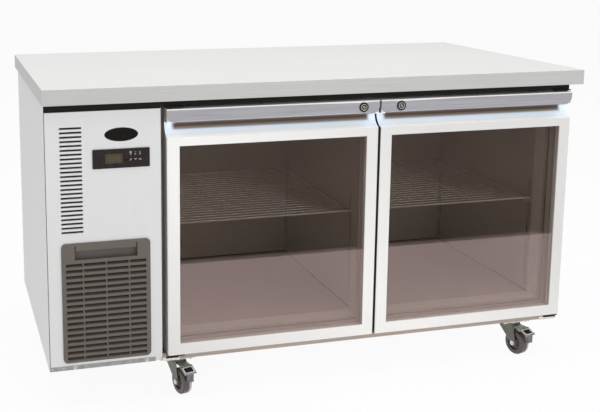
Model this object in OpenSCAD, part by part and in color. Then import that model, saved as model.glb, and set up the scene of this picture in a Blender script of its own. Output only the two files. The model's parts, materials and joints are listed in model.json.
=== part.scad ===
// Undercounter refrigerator: a worktop on a cold cabinet with two glass doors, a machine
// compartment at the left and four swivel castors. Sizes are in millimetres.
// X runs along the width, the front faces -Y and Z is up. The origin is on the floor,
// under the middle of the worktop.

/* [Worktop and cabinet] */
// Width of the worktop, end to end
worktop_w = 1500; // [1360:10:1700]
// Depth of the worktop, front to back
worktop_d = 800; // [740:10:900]
// Thickness of the worktop
worktop_t = 40; // [30:1:60]
// Height of the worktop's upper face above the floor
overall_h = 840; // [800:5:900]
// Thickness of the worktop's folded sheet
worktop_sheet = 1.2; // [1:0.1:2]
// Width of the return folded under the worktop's edges
worktop_return = 20; // [10:1:25]
// Overhang of the worktop past the left side
overhang_left = 4; // [1:1:20]
// Overhang of the worktop past the right side
overhang_right = 12; // [1:1:30]
// Overhang of the worktop past the back
overhang_back = 60; // [20:5:90]
// Thickness of the outer and inner skins
sheet_t = 1; // [0.8:0.1:1.5]
// Thickness of the insulated side and back walls
wall_t = 50; // [46:1:60]
// Thickness of the insulated floor
floor_t = 60; // [56:1:70]
// Thickness of the insulated ceiling
ceiling_t = 54; // [50:1:60]
// Thickness of the frame that the doors seal against
frame_t = 3; // [2:0.5:5]
// Width of the post between the two bays
mullion_w = 66; // [64:1:80]
// Depth of the post between the two bays
mullion_d = 40; // [25:1:60]
// Thickness of the wall behind the post, between the two bays
partition_t = 44; // [30:1:50]
// Seam between the slabs of foam in the walls
foam_seam = 0.4; // [0.2:0.1:0.8]
// Gap between the worktop and the top of the machine panel
top_gap = 20; // [18:1:24]
// Depth of the black strip under the worktop
strip_d = 22; // [16:1:24]
// Setback of the black strip from the door faces
strip_setback = 14; // [10:1:18]

/* [Machine compartment] */
// Width of the machine compartment
machine_w = 293; // [286:1:330]
// Height of its underside above the cabinet's underside
machine_lift = 12; // [6:1:16]
// Setback of the front panel from the door faces
panel_setback = 8; // [4:1:12]
// Seam between the side panel and the front panel
panel_seam = 1.5; // [0.5:0.5:3]
// Depth of the front panel's folded returns
panel_return = 18; // [10:1:24]
// Height of the base rail under the front panel
base_rail_h = 12; // [10:1:16]
// Length of the base rail left out at its right end
base_rail_short = 18; // [10:1:30]
// Depth of the base rail
base_rail_d = 30; // [20:1:40]
// Distance from the panel's left edge to the rail's first screw
rail_screw_x = 65; // [50:1:80]
// Distance from the rail's second screw to the panel's right edge
rail_screw_end = 41; // [30:1:60]
// Number of ventilation slots in the front panel
slot_count = 25; // [5:1:25]
// Length of a slot
slot_l = 55; // [40:1:60]
// Height of a slot
slot_h = 3.8; // [3:0.1:5]
// Distance from one slot to the next
slot_pitch = 11; // [8:0.5:11.5]
// Distance from the panel's left edge to the slots
slot_x = 38; // [30:1:45]
// Distance from the panel's top to the first slot
slot_drop = 40; // [30:1:45]
// Number of louvres in the back panel
back_slot_count = 5; // [3:1:16]
// Radius of the cord gland's neck
gland_r = 9; // [8:0.5:12]
// Radius of the cord gland's bore
cord_r = 5; // [3:0.5:6]

/* [Machine set] */
// Clear space at each side of the machine set
set_inset = 34; // [30:1:40]
// Distance from the front panel to the condenser
condenser_setback = 50; // [40:1:60]
// Depth of the condenser
condenser_d = 44; // [36:1:50]
// Height of the condenser
condenser_h = 300; // [270:1:310]
// Radius of the condenser fan
fan_r = 96; // [80:1:98]
// Distance from the fan shroud to the fan motor
motor_setback = 52; // [44:1:60]
// Distance from the fan motor's front to the middle of the compressor
comp_setback = 190; // [180:1:210]
// Radius of the compressor
comp_r = 76; // [66:1:78]
// Height of the compressor
comp_h = 190; // [170:1:200]
// Length of the drier
drier_l = 100; // [80:1:120]
// Height of the drier above the condenser's lowest tube
drier_up = 240; // [200:1:260]
// Length of the evaporator
evap_l = 220; // [200:1:230]
// Height of the evaporator
evap_h = 190; // [184:1:196]
// Depth of the evaporator's fins
evap_d = 56; // [50:1:60]
// Clear space between the evaporator and the bay's back and ceiling
evap_inset = 30; // [26:1:36]
// Depth of the cover in front of the evaporator fan
cover_d = 34; // [30:1:40]

/* [Filter grille] */
// Width of the grille
grille_w = 227; // [210:1:230]
// Height of the grille
grille_h = 315; // [300:1:318]
// Distance from the panel's left edge to the grille
grille_x = 36; // [34:1:44]
// Distance from the base rail to the grille
grille_foot = 8; // [6:1:10]
// Height of the grille's face over the panel
grille_proud = 4; // [3:0.5:6]
// Depth of the grille behind the panel's face
grille_insert = 14; // [12:1:18]
// Width of the border that laps over the panel
grille_lap = 7; // [6:0.5:8]
// Corner radius of the grille
grille_r = 12; // [9:1:16]
// Clearance between the grille and its cut-out
grille_clear = 1; // [0.5:0.5:2]
// Number of louvre openings
louvre_count = 17; // [8:1:17]
// Distance from one louvre opening to the next
louvre_pitch = 15.4; // [13:0.1:15.5]
// Height of a louvre opening
louvre_h = 8; // [6:0.5:9]
// Slope of the louvres
louvre_slope = 20; // [10:1:25]
// Width of the upright ribs
rib_w = 4; // [3:0.5:6]
// Width of the finger pocket
pocket_w = 160; // [120:1:170]
// Height of the finger pocket
pocket_h = 36; // [32:1:38]
// Height of the bar across the pocket
pocket_bar_h = 12; // [8:1:14]
// Thickness of the bar across the pocket
pocket_bar_t = 5; // [4:0.5:6]
// Gap at each end of the bar over the finger pocket
pocket_bar_gap = 3; // [2:0.5:5]
// Thickness of the filter mat
filter_t = 4; // [3:0.5:8]

/* [Controller] */
// Width of the controller
controller_w = 145; // [140:1:150]
// Height of the controller
controller_h = 49; // [46:1:60]
// Distance from the panel's left edge to the controller
controller_x = 119; // [112:1:122]
// Distance from the panel's top to the controller
controller_drop = 97; // [90:1:110]
// Height of the controller's face over the panel
controller_proud = 3; // [2:0.5:5]
// Depth of the controller behind the panel's face
controller_depth = 32; // [20:1:50]
// Width of the border that laps over the panel
controller_lap = 4; // [3:0.5:5]
// Width of the display window
display_w = 43; // [36:1:44]
// Height of the display window
display_h = 24; // [20:1:26]
// Thickness of the display window
display_t = 1.2; // [0.8:0.1:1.6]
// Width of a key
key_w = 8; // [6:0.5:9]
// Height of a key
key_h = 6.5; // [5:0.5:7.5]
// Travel of a key
key_travel = 0.8; // [0.4:0.1:1.2]
// Distance from one key to the next
key_pitch = 12; // [11:0.5:13]
// Clearance round a key
key_clear = 0.3; // [0.2:0.05:0.4]
// Radius of an indicator lamp
lamp_r = 2; // [1.5:0.1:2.5]

/* [Doors] */
// Setback of the door faces from the worktop's front edge
door_setback = 14; // [10:1:30]
// Thickness of a door
door_t = 50; // [48:1:56]
// Gap between the two doors
door_gap = 5; // [2:0.5:6]
// Gap beside the hinge edge of a door
door_side_gap = 14; // [13:1:20]
// Height of the doors' lower edge above the cabinet's underside
door_lift = 25; // [22:1:30]
// Gap between the level of the machine panel's top and the doors' top
door_top_gap = 2; // [1:0.5:3]
// Chamfer on the upright front edges of a door
door_chamfer = 3; // [1:0.5:4]
// Width of the upright members of a door frame
stile_w = 33; // [32:1:40]
// Height of the bottom member of a door frame
bottom_rail_h = 30; // [26:1:40]
// Height from the glass to the top of a door
top_rail_h = 96; // [90:1:110]
// Setback of the glass from the door face
glass_setback = 4; // [3:0.5:6]
// Thickness of one pane
pane_t = 4; // [3:0.5:5]
// Space between the two panes
pane_gap = 16; // [12:1:18]
// Depth of the groove that holds the panes
rebate = 12; // [10:1:14]
// Clearance between the panes' edges and the groove
glass_clear = 0.5; // [0.2:0.1:1]
// Width of the spacer between the panes
spacer_w = 10; // [8:0.5:12]
// Width of the door gasket
gasket_w = 16; // [14:1:18]
// Depth of the door gasket
gasket_t = 12; // [8:1:14]
// Inset of the gasket from the edges of a door
gasket_inset = 14; // [13:1:15]
// Clearance between the closed gasket and the cabinet's frame
seal_gap = 0.4; // [0.3:0.1:0.8]

/* [Handles and locks] */
// Height of the handle strip
strip_h = 35; // [30:1:38]
// Thickness of the handle strip
handle_t = 3; // [2:0.5:4]
// Height of the handle strip over the door face
handle_proud = 2; // [1:0.5:3]
// Radius of the handle strip's lower corners
handle_r = 22; // [12:1:24]
// Thickness of the handle's top plate
cap_t = 3; // [2:0.5:4]
// Depth of the handle's top plate from the door face
cap_d = 34; // [31:1:36]
// Depth of the finger recess
recess_d = 30; // [26:1:32]
// Height of the curved slope below the finger recess
scoop_h = 38; // [30:1:44]
// Length of the block that closes the recess at the hinge end
hinge_block = 28; // [24:1:32]
// Length of the block that closes the recess at the lock end
lock_end_block = 14; // [10:1:18]
// Distance of the left door's lock from the door's edge
left_lock_inset = 46; // [44:1:60]
// Distance of the right door's lock from the door's edge
right_lock_inset = 57; // [44:1:70]
// Distance of the locks below the door's top
lock_drop = 17; // [15:1:18]
// Radius of a lock barrel
lock_r = 9; // [7:0.5:10]
// Radius of the ring round a lock barrel
lock_ring_r = 13; // [12:0.5:14]
// Height of the ring round a lock barrel
lock_ring_h = 1.5; // [1:0.5:2]
// Half the width of the block that carries a lock
lock_block = 16; // [14:1:18]
// Length of a lock cam from the barrel's axis
cam_l = 29; // [26:1:32]
// Half the width of a lock cam
cam_w = 6; // [5:0.5:7]
// Thickness of a lock cam
cam_t = 3; // [2:0.5:3]
// Radius of the stub that carries a lock cam
cam_stub_r = 4; // [3:0.5:4.5]

/* [Hinges] */
// Depth of the sill that stands out under the doors
sill_d = 29; // [20:1:34]
// Distance of a hinge pin from the door's edge
pin_inset = 12; // [11:0.5:13]
// Distance of a hinge pin behind the door face
pin_depth = 18; // [15:0.5:20]
// Radius of a hinge pin
pin_r = 5; // [4:0.25:6]
// Length of a hinge pin inside the door
pin_l = 18; // [12:1:20]
// Radial clearance of the turning fits
turn_clear = 0.05; // [0.03:0.01:0.08]
// Thickness of a hinge plate
hinge_t = 3; // [2:0.5:3]
// Length of a hinge plate from the pin towards the door's middle
hinge_l = 34; // [20:1:45]
// Height of the washer between a hinge plate and the door
washer_t = 2; // [1.5:0.25:2.5]
// Clearance between a hinge washer and the door
washer_gap = 0.4; // [0.3:0.1:0.6]

/* [Bays] */
// Height of the shelves above the bay floor
shelf_up = 286; // [200:1:320]
// Diameter of a shelf wire
wire_d = 3.2; // [2.5:0.1:4]
// Diameter of the rods that frame a shelf and cross under its wires
rail_d = 5; // [4.5:0.5:7]
// Number of wires in a shelf
wire_count = 21; // [8:1:28]
// Width of the slotted uprights that carry the shelves
upright_w = 16; // [12:1:20]
// Thickness of the slotted uprights
upright_t = 4; // [3:0.5:6]
// Length of a shelf clip
clip_l = 26; // [20:1:30]
// Height of a shelf clip
clip_h = 8; // [6:1:12]

/* [Castors] */
// Height of a castor, which is the height of the cabinet's underside
castor_h = 100; // [98:1:110]
// Diameter of a castor wheel
wheel_d = 70; // [60:1:72]
// Width of a castor wheel
wheel_w = 26; // [22:1:28]
// Distance of the axle from the swivel axis
trail = 28; // [24:1:30]
// Radius of the wheel's hub
hub_r = 22; // [18:1:24]
// Radius of an axle
axle_r = 4; // [3:0.25:5]
// Thickness of the fork's legs
fork_t = 2.5; // [2:0.25:3]
// Gap between a wheel and the fork's legs
fork_gap = 2; // [1.5:0.25:3]
// Radius of the fork's crown and of the swivel race
crown_r = 24; // [22:1:26]
// Radius of the kingpin
king_r = 6; // [5:0.25:7]
// Length of a castor plate along the width
plate_l = 84; // [76:1:84]
// Length of a castor plate along the depth
plate_d = 65; // [60:1:65]
// Thickness of a castor plate
plate_t = 3; // [2.5:0.5:4]
// Distance of the left castors from the machine compartment
castor_left = 53; // [43:1:60]
// Distance of the right castors from the right side
castor_right = 126; // [60:1:140]
// Distance of the front castors behind the sill's face
castor_front = 34; // [33:1:60]
// Distance of the back castors from the back
castor_back = 50; // [40:1:80]
// How far the fork's legs reach behind the swivel axis
leg_back = 28; // [20:1:30]
// Height of the lip that hangs from a brake pedal's toe
toe_lip_h = 24; // [16:1:26]
// Width of that lip
toe_lip_w = 18; // [14:1:24]
// Largest turn of a brake pedal
brake_turn = 5; // [3:0.5:5]
// Swivel of the castors as they stand, in degrees
castor_turn = 15; // [0:1:30]

/* [Hidden] */
$fn = 48;

// Colours of the pieces in the preview.
steel_colour = [0.82, 0.83, 0.84];
pale_colour = [0.92, 0.92, 0.91];
dark_colour = [0.14, 0.13, 0.12];
grey_colour = [0.38, 0.35, 0.33];
copper_colour = [0.72, 0.45, 0.3];
glass_colour = [0.35, 0.31, 0.3, 0.5];

// Planes of the cabinet.
x_left = -worktop_w / 2 + overhang_left;
x_right = worktop_w / 2 - overhang_right;
x_machine = x_left + machine_w;
y_front = -worktop_d / 2;
y_back = worktop_d / 2 - overhang_back;
y_door = y_front + door_setback;
y_panel = y_door + panel_setback;
y_frame = y_door + door_t + gasket_t + seal_gap;
y_shell = y_frame + frame_t;
z_base = castor_h;
z_machine = z_base + machine_lift;
z_top = overall_h - worktop_t;
z_panel = z_top - top_gap;
z_rail = z_machine + base_rail_h;

// The cold space.
bay_x0 = x_machine + wall_t;
bay_x1 = x_right - wall_t;
bay_y1 = y_back - wall_t;
bay_z0 = z_base + floor_t;
bay_z1 = z_top - ceiling_t;
passage_y = bay_y1 - 70;
passage_z = bay_z1 - 90;
passage_r = 16;

// The doors.
door_z = z_base + door_lift;
door_h = z_panel - door_top_gap - door_z;
door_w = (x_right - x_machine - 2 * door_side_gap - door_gap) / 2;
left_door_x = x_machine + door_side_gap;
right_door_x = x_right - door_side_gap;
x_mid = (left_door_x + right_door_x) / 2;
bays = [[bay_x0, x_mid - partition_t / 2], [x_mid + partition_t / 2, bay_x1]];
glazing_t = 2 * pane_t + pane_gap;
handle_back = handle_t - handle_proud;
scoop_z = door_h - strip_h - 1;
scoop_r = (recess_d * recess_d + scoop_h * scoop_h) / (2 * recess_d);
lock_z = door_h - lock_drop;
cam_room0 = recess_d + 8;
cam_room1 = cam_room0 + cam_t + 4;
y_sill = y_frame - sill_d;
z_sill = door_z - washer_gap - washer_t - hinge_t;
strip_z = door_z + door_h + washer_t + washer_gap + hinge_t + 0.5;

// The machine panel, measured from its left edge and its top.
panel_x = x_left + sheet_t + panel_seam;
grille_left = x_left + grille_x;
grille_low = z_rail + grille_foot;
grille_top = grille_low + grille_h;
controller_left = x_left + controller_x;
controller_top = z_panel - controller_drop;
key_row = controller_top - 28;
lamp_row = controller_top - 15;
key_x0 = controller_left + 84;

// The machine set.
gland_x = x_left + 90;
gland_z = z_machine + 70;
tray_t = 1.2;
z_tray = z_machine + tray_t;
set_x0 = x_left + set_inset;
set_x1 = x_machine - set_inset;
set_xm = (set_x0 + set_x1) / 2;
condenser_y0 = y_panel + condenser_setback;
condenser_y1 = condenser_y0 + condenser_d;
condenser_z1 = z_tray + condenser_h;
shroud_y = condenser_y1 + 1;
fan_z = z_tray + condenser_h / 2;
motor_y = shroud_y + motor_setback;
comp_y = motor_y + comp_setback;
comp_z0 = z_tray + 14;
comp_z1 = comp_z0 + comp_h;

// The evaporator on the bay's left wall.
evap_y1 = bay_y1 - evap_inset;
evap_y0 = evap_y1 - evap_l;
evap_z1 = bay_z1 - evap_inset;
evap_z0 = evap_z1 - evap_h;
evap_x1 = bay_x0 + evap_d;
evap_fan_x = evap_x1 + 8;
evap_fan_y = (evap_y0 + evap_y1) / 2;
evap_fan_z = (evap_z0 + evap_z1) / 2;
cover_x1 = evap_fan_x + cover_d;

// The shelves.
shelf_z = bay_z0 + shelf_up;
shelf_y0 = y_frame + mullion_d + upright_t + 6;
shelf_y1 = bay_y1 - upright_t - 6;

// A hairline that keeps touching pieces of one node apart.
part_gap = 0.05;

// The castors, with the swivel axis at the origin and the wheel towards -Y.
wheel_r = wheel_d / 2;
fork_x = wheel_w / 2 + fork_gap;
race_z = castor_h - plate_t - 5;
crown_z1 = race_z - 0.3;
crown_z0 = crown_z1 - 5.5;
boss_r = 10;
brake_y = -12;
brake_z = crown_z0 - 5;
brake_r = 2;
shoe_y = -trail - 4;
shoe_top = wheel_r + sqrt(wheel_r * wheel_r - 16);
shoe_drop = (trail + 4 + brake_y) * tan(brake_turn);
castor_xl = x_machine + castor_left;
castor_xr = x_right - castor_right;
castor_yf = y_sill + castor_front;
castor_yb = y_back - castor_back;

// A box between two corners.
module block(lo, hi) {
    translate(lo) cube(hi - lo);
}

// Round bars along each axis, from one end to the other.
module rod_x(r, x0, x1) {
    translate([x0, 0, 0]) rotate([0, 90, 0]) cylinder(r = r, h = x1 - x0);
}

module rod_y(r, y0, y1) {
    translate([0, y0, 0]) rotate([-90, 0, 0]) cylinder(r = r, h = y1 - y0);
}

module rod_z(r, z0, z1) {
    translate([0, 0, z0]) cylinder(r = r, h = z1 - z0);
}

// A plate with rounded corners in the XZ plane, between two depths.
module round_plate(x0, x1, z0, z1, y0, y1, r) {
    translate([0, y1, 0]) rotate([90, 0, 0]) linear_extrude(y1 - y0) union() {
        translate([x0 + r, z0]) square([x1 - x0 - 2 * r, z1 - z0]);
        translate([x0, z0 + r]) square([x1 - x0, z1 - z0 - 2 * r]);
        for (x = [x0 + r, x1 - r]) {
            for (z = [z0 + r, z1 - r]) {
                translate([x, z]) circle(r = r);
            }
        }
    }
}

// A flat ring in the XZ plane, between two depths.
module ring_plate(x0, x1, z0, z1, w, y0, y1) {
    difference() {
        block([x0, y0, z0], [x1, y1, z1]);
        block([x0 + w, y0 - 1, z0 + w], [x1 - w, y1 + 1, z1 - w]);
    }
}

// A tube through points that lie square to each other, with a knuckle at each corner.
module tube(points, r) {
    for (i = [0 : len(points) - 2]) {
        a = points[i];
        d = points[i + 1] - a;
        l = norm(d);
        turn = d[0] > 0 ? [0, 90, 0] : d[0] < 0 ? [0, -90, 0]
            : d[1] > 0 ? [-90, 0, 0] : d[1] < 0 ? [90, 0, 0]
            : d[2] > 0 ? [0, 0, 0] : [180, 0, 0];
        translate(a) rotate(turn) cylinder(r = r, h = l);
    }
    for (i = [1 : len(points) - 2]) {
        translate(points[i]) sphere(r = r * 1.15);
    }
}

// The outer skin of the cold cabinet, open at the front.
module cabinet_shell() color(steel_colour) difference() {
    block([x_machine, y_shell, z_base], [x_right, y_back, z_top]);
    block([x_machine + sheet_t, y_shell - 1, z_base + sheet_t],
          [x_right - sheet_t, y_back - sheet_t, z_top - sheet_t]);
    translate([0, passage_y, passage_z]) rod_x(passage_r, x_machine - 5, x_machine + 5);
}

// The foam between the two skins, as slabs with a seam between them: floor, ceiling, back, both ends, and
// the wall between the bays.
module insulation_foam() color([0.93, 0.88, 0.7]) {
    x0 = x_machine + sheet_t;
    x1 = x_right - sheet_t;
    y1 = y_back - sheet_t;
    z0 = bay_z0 - sheet_t;
    z1 = bay_z1 + sheet_t;
    wall_y1 = bay_y1 + sheet_t;
    block([x0, y_shell, z_base + sheet_t], [x1, y1, z0]);
    block([x0, y_shell, z1], [x1, y1, z_top - sheet_t]);
    block([x0, wall_y1, z0 + foam_seam], [x1, y1, z1 - foam_seam]);
    difference() {
        block([x0, y_shell, z0 + foam_seam], [bay_x0 - sheet_t, wall_y1 - foam_seam, z1 - foam_seam]);
        translate([0, passage_y, passage_z]) rod_x(passage_r, x_machine - 5, bay_x0 + 5);
    }
    block([bay_x1 + sheet_t, y_shell, z0 + foam_seam], [x1, wall_y1 - foam_seam, z1 - foam_seam]);
    block([bays[0][1] + sheet_t, y_frame + mullion_d, z0 + foam_seam],
          [bays[1][0] - sheet_t, wall_y1 - foam_seam, z1 - foam_seam]);
}

// The post between the bays, or the room for it, which starts a little further to the front.
module post(room) {
    block([x_mid - mullion_w / 2, y_frame - room, bay_z0], [x_mid + mullion_w / 2, y_frame + mullion_d, bay_z1]);
}

// The inner skins of the two bays, open at the front.
module inner_liner() color(steel_colour) for (bay = bays) difference() {
    block([bay[0] - sheet_t, y_shell, bay_z0 - sheet_t], [bay[1] + sheet_t, bay_y1 + sheet_t, bay_z1 + sheet_t]);
    block([bay[0], y_shell - 1, bay_z0], [bay[1], bay_y1, bay_z1]);
    post(1);
    translate([0, passage_y, passage_z]) rod_x(passage_r, bay_x0 - 5, bay_x0 + 5);
}

// The frame that the gaskets close against, with the post between the bays.
module front_frame() color(steel_colour) union() {
    difference() {
        block([x_machine, y_frame, z_base], [x_right, y_shell, z_top]);
        block([bay_x0, y_frame - 1, bay_z0], [bay_x1, y_shell + 1, bay_z1]);
    }
    post(0);
    block([x_machine, y_sill, z_base], [x_right, y_frame + 1, z_sill]);
}

// The folded steel pan of the worktop, open under its core.
module worktop() color(steel_colour) difference() {
    block([-worktop_w / 2, y_front, z_top], [worktop_w / 2, -y_front, overall_h]);
    worktop_room();
}

// The board inside the worktop, flush with the returns.
module worktop_core() color([0.72, 0.58, 0.42]) worktop_room();

module worktop_room() {
    s = worktop_sheet;
    e = worktop_return;
    union() {
        block([-worktop_w / 2 + s, y_front + s, z_top + s], [worktop_w / 2 - s, -y_front - s, overall_h - s]);
        block([-worktop_w / 2 + e, y_front + e, z_top], [worktop_w / 2 - e, -y_front - e, z_top + s + 1]);
    }
}

// The black strip under the worktop, deeper over the machine panel than over the doors.
module top_strip() color(dark_colour) union() {
    y0 = y_door + strip_setback;
    block([x_left + sheet_t, y0, strip_z], [right_door_x, y0 + strip_d, z_top]);
    block([x_left + sheet_t, y0, z_panel], [x_machine, y0 + strip_d, strip_z + 1]);
}

// The side of the machine compartment, with a return along its lower edge.
module machine_side_panel() color(steel_colour) union() {
    block([x_left, y_panel, z_machine], [x_left + sheet_t, y_back, z_top]);
    block([x_left, y_back - sheet_t, z_machine], [x_left + 20, y_back, z_top]);
}

// The back of the machine compartment, with air slots and the cord hole.
module machine_back_panel() color(steel_colour) difference() {
    block([x_left + 20, y_back - sheet_t, z_machine], [x_machine, y_back, z_top]);
    for (i = [0 : back_slot_count - 1]) {
        z = z_top - 60 - 24 * i;
        translate([0, 0, z]) slot_cut(x_left + 60, x_machine - 40, 7, y_back - 4, y_back + 2);
    }
    translate([gland_x, 0, gland_z]) rod_y(gland_r + turn_clear, y_back - 4, y_back + 2);
}

// A cutter for a slot with round ends.
module slot_cut(x0, x1, h, y0, y1) {
    translate([0, y1, 0]) rotate([90, 0, 0]) linear_extrude(y1 - y0) union() {
        translate([x0 + h / 2, -h / 2]) square([x1 - x0 - h, h]);
        translate([x0 + h / 2, 0]) circle(r = h / 2);
        translate([x1 - h / 2, 0]) circle(r = h / 2);
    }
}

// The front of the machine compartment: a folded panel with slots and two cut-outs.
module machine_front_panel() color(pale_colour) difference() {
    union() {
        block([panel_x, y_panel, z_rail], [x_machine, y_panel + panel_return, z_panel]);
        block([x_machine - sheet_t, y_panel, z_rail], [x_machine, y_frame, z_panel]);
    }
    block([panel_x + sheet_t, y_panel + sheet_t, z_rail + sheet_t],
          [x_machine - sheet_t, y_frame + 1, z_panel - sheet_t]);
    for (i = [0 : slot_count - 1]) {
        translate([0, 0, z_panel - slot_drop - slot_pitch * i])
            slot_cut(x_left + slot_x, x_left + slot_x + slot_l, slot_h, y_panel - 1, y_panel + 3);
    }
    block([grille_left + grille_lap, y_panel - 1, grille_low + grille_lap],
          [grille_left + grille_w - grille_lap, y_panel + 3, grille_top - grille_lap]);
    block([controller_left + controller_lap, y_panel - 1, controller_top - controller_h + controller_lap],
          [controller_left + controller_w - controller_lap, y_panel + 3, controller_top - controller_lap]);
}

// The channel under the front panel.
module base_rail() color([0.6, 0.61, 0.61]) difference() {
    x1 = x_machine - base_rail_short;
    block([x_left + sheet_t, y_panel, z_machine], [x1, y_panel + base_rail_d, z_rail]);
    block([x_left, y_panel + 1.5, z_machine + 1.5], [x1 + 1, y_panel + base_rail_d + 1, z_rail - 1.5]);
}

// The floor of the machine compartment, with upturned edges.
module machine_tray() color(steel_colour) difference() {
    block([x_left + sheet_t, y_panel + base_rail_d, z_machine], [x_machine, y_back - sheet_t, z_machine + 9]);
    block([x_left + sheet_t + tray_t, y_panel + base_rail_d + tray_t, z_tray],
          [x_machine - tray_t, y_back - sheet_t - tray_t, z_machine + 10]);
}

// The compressor on its base plate and four feet.
module compressor() color([0.16, 0.16, 0.17]) translate([set_xm, comp_y, 0]) union() {
    rod_z(comp_r, comp_z0 + 4, comp_z1 - 40);
    translate([0, 0, comp_z1 - 40]) scale(1) intersection() {
        sphere(r = comp_r * 1.02);
        rod_z(comp_r, -1, 62);
    }
    block([-comp_r - 19, 6 - comp_r, comp_z0], [comp_r + 19, comp_r - 6, comp_z0 + 5]);
    for (x = [-comp_r - 6, comp_r + 6]) {
        for (y = [20 - comp_r, comp_r - 20]) {
            translate([x, y, 0]) rod_z(9, z_tray, comp_z0 + 1);
        }
    }
    block([comp_r - 12, -26, comp_z0 + 60], [comp_r + 26, 26, comp_z0 + 126]);
    translate([0, 0, comp_z0 + 120]) rod_y(5, -comp_r - 14, -comp_r + 10);
    translate([-30, 0, comp_z0 + 60]) rod_y(7, comp_r - 16, comp_r + 10);
}

// Fins on tubes between two end plates, along X.
module fin_block(x0, x1, y0, y1, z0, z1, foot, count, tube_r) {
    rows = 5;
    block([x0, y0, foot], [x0 + 2, y1, z1]);
    block([x1 - 2, y0, foot], [x1, y1, z1]);
    for (i = [1 : count]) {
        x = x0 + (x1 - x0) * i / (count + 1);
        block([x - 0.6, y0 + 1, z0], [x + 0.6, y1 - 1, z1]);
    }
    for (i = [0 : rows - 1]) {
        z = z0 + (z1 - z0) * (i + 0.5) / rows;
        translate([0, (y0 + y1) / 2, z]) rod_x(tube_r, x0 - 8, x1 + 8);
    }
}

// The condenser behind the grille, standing on the tray.
module condenser() color([0.62, 0.63, 0.64]) union() {
    fin_block(set_x0, set_x1, condenser_y0, condenser_y1, z_tray + 12, condenser_z1, z_tray, 24, 5);
}

// The plate and ring that lead the air through the fan.
module fan_shroud() color([0.3, 0.3, 0.31]) difference() {
    union() {
        block([set_x0, shroud_y, z_tray], [set_x1, shroud_y + 2, condenser_z1]);
        translate([set_xm, 0, fan_z]) rod_y(fan_r + 8, shroud_y, shroud_y + 30);
    }
    translate([set_xm, 0, fan_z]) rod_y(fan_r + 5, shroud_y - 1, shroud_y + 31);
}

// Both fan motors on their straps.
module fan_motors() color([0.25, 0.25, 0.26]) union() {
    translate([set_xm, 0, fan_z]) difference() {
        union() {
            rod_y(32, motor_y, motor_y + 56);
            block([-9, motor_y, -fan_r - 14], [9, motor_y + 3, fan_r + 14]);
            block([-9, shroud_y + 2, fan_r + 11], [9, motor_y + 3, fan_r + 14]);
            block([-9, shroud_y + 2, -fan_r - 14], [9, motor_y + 3, -fan_r - 11]);
        }
        rod_y(4 + turn_clear, motor_y - 1, motor_y + 30);
    }
    translate([0, evap_fan_y, evap_fan_z]) difference() {
        union() {
            rod_x(22, evap_x1 - 30, evap_fan_x);
            block([evap_fan_x - 2, -8, -95], [evap_fan_x, 8, 95]);
            block([evap_fan_x - 2, -8, 92], [cover_x1 - 1.5, 8, 95]);
            block([evap_fan_x - 2, -8, -95], [cover_x1 - 1.5, 8, -92]);
        }
        rod_x(3 + turn_clear, evap_fan_x - 20, evap_fan_x + 1);
    }
}

// The evaporator: fins along Y on the bay's left wall, split round the fan motor.
module evaporator() color([0.75, 0.77, 0.78]) difference() {
    union() {
        block([bay_x0, evap_y0, evap_z0], [evap_x1, evap_y0 + 2, evap_z1]);
        block([bay_x0, evap_y1 - 2, evap_z0], [evap_x1, evap_y1, evap_z1]);
        for (i = [1 : 15]) {
            y = evap_y0 + (evap_y1 - evap_y0) * i / 16;
            block([bay_x0 + 10, y - 0.6, evap_z0], [evap_x1 - 2, y + 0.6, evap_z1]);
        }
        for (z = [evap_z0 + 16, evap_z0 + 44, evap_z1 - 44, evap_z1 - 16]) {
            translate([bay_x0 + 30, 0, z]) rod_y(5, evap_y0 - 8, evap_y1 + 8);
        }
    }
    translate([0, evap_fan_y, evap_fan_z]) rod_x(26, evap_x1 - 34, evap_x1 + 1);
}

// The cover over the evaporator, open below and with a round outlet.
module evaporator_cover() color(steel_colour) difference() {
    block([bay_x0, evap_y0 - 14, evap_z0 - 14], [cover_x1, evap_y1 + 14, evap_z1 + 14]);
    block([bay_x0 - 1, evap_y0 - 12.5, evap_z0 - 15], [cover_x1 - 1.5, evap_y1 + 12.5, evap_z1 + 12.5]);
    translate([0, evap_fan_y, evap_fan_z]) rod_x(76, cover_x1 - 3, cover_x1 + 1);
}

// Copper lines between compressor, condenser and evaporator, with the drier.
module refrigerant_lines() color(copper_colour) {
    cy = (condenser_y0 + condenser_y1) / 2;
    ch = (condenser_z1 - z_tray - 12) / 10;
    hot_z = comp_z0 + 120;
    hot_y = comp_y - comp_r - 14.2;
    cold_y = comp_y + comp_r + 10.2;
    end_x = set_x1 + 8.2;
    pass_a = passage_y - 8;
    pass_b = passage_y + 6;
    top_z = z_tray + 12 + 9 * ch;
    low_z = z_tray + 12 + ch;
    tube([[set_xm, hot_y, hot_z], [set_xm, hot_y - 12, hot_z], [set_xm, hot_y - 12, condenser_z1 + 24],
          [end_x + 8, hot_y - 12, condenser_z1 + 24], [end_x + 8, cy, condenser_z1 + 24],
          [end_x + 8, cy, top_z], [end_x, cy, top_z]], 4);
    union() {
        tube([[end_x, cy, low_z], [end_x + 8, cy, low_z], [end_x + 8, condenser_y1 + 150, low_z],
              [end_x + 8, condenser_y1 + 150, passage_z], [end_x + 8, pass_a, passage_z],
              [bay_x0 + 30, pass_a, passage_z]], 3.5);
        translate([end_x + 8, condenser_y1 + 150, 0]) rod_z(10, low_z + drier_up, low_z + drier_up + drier_l);
    }
    tube([[bay_x0 + 16, pass_b, passage_z], [x_machine - 60, pass_b, passage_z],
          [x_machine - 60, pass_b, comp_z0 + 60], [set_xm - 30, pass_b, comp_z0 + 60],
          [set_xm - 30, cold_y, comp_z0 + 60]], 5);
}

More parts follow.
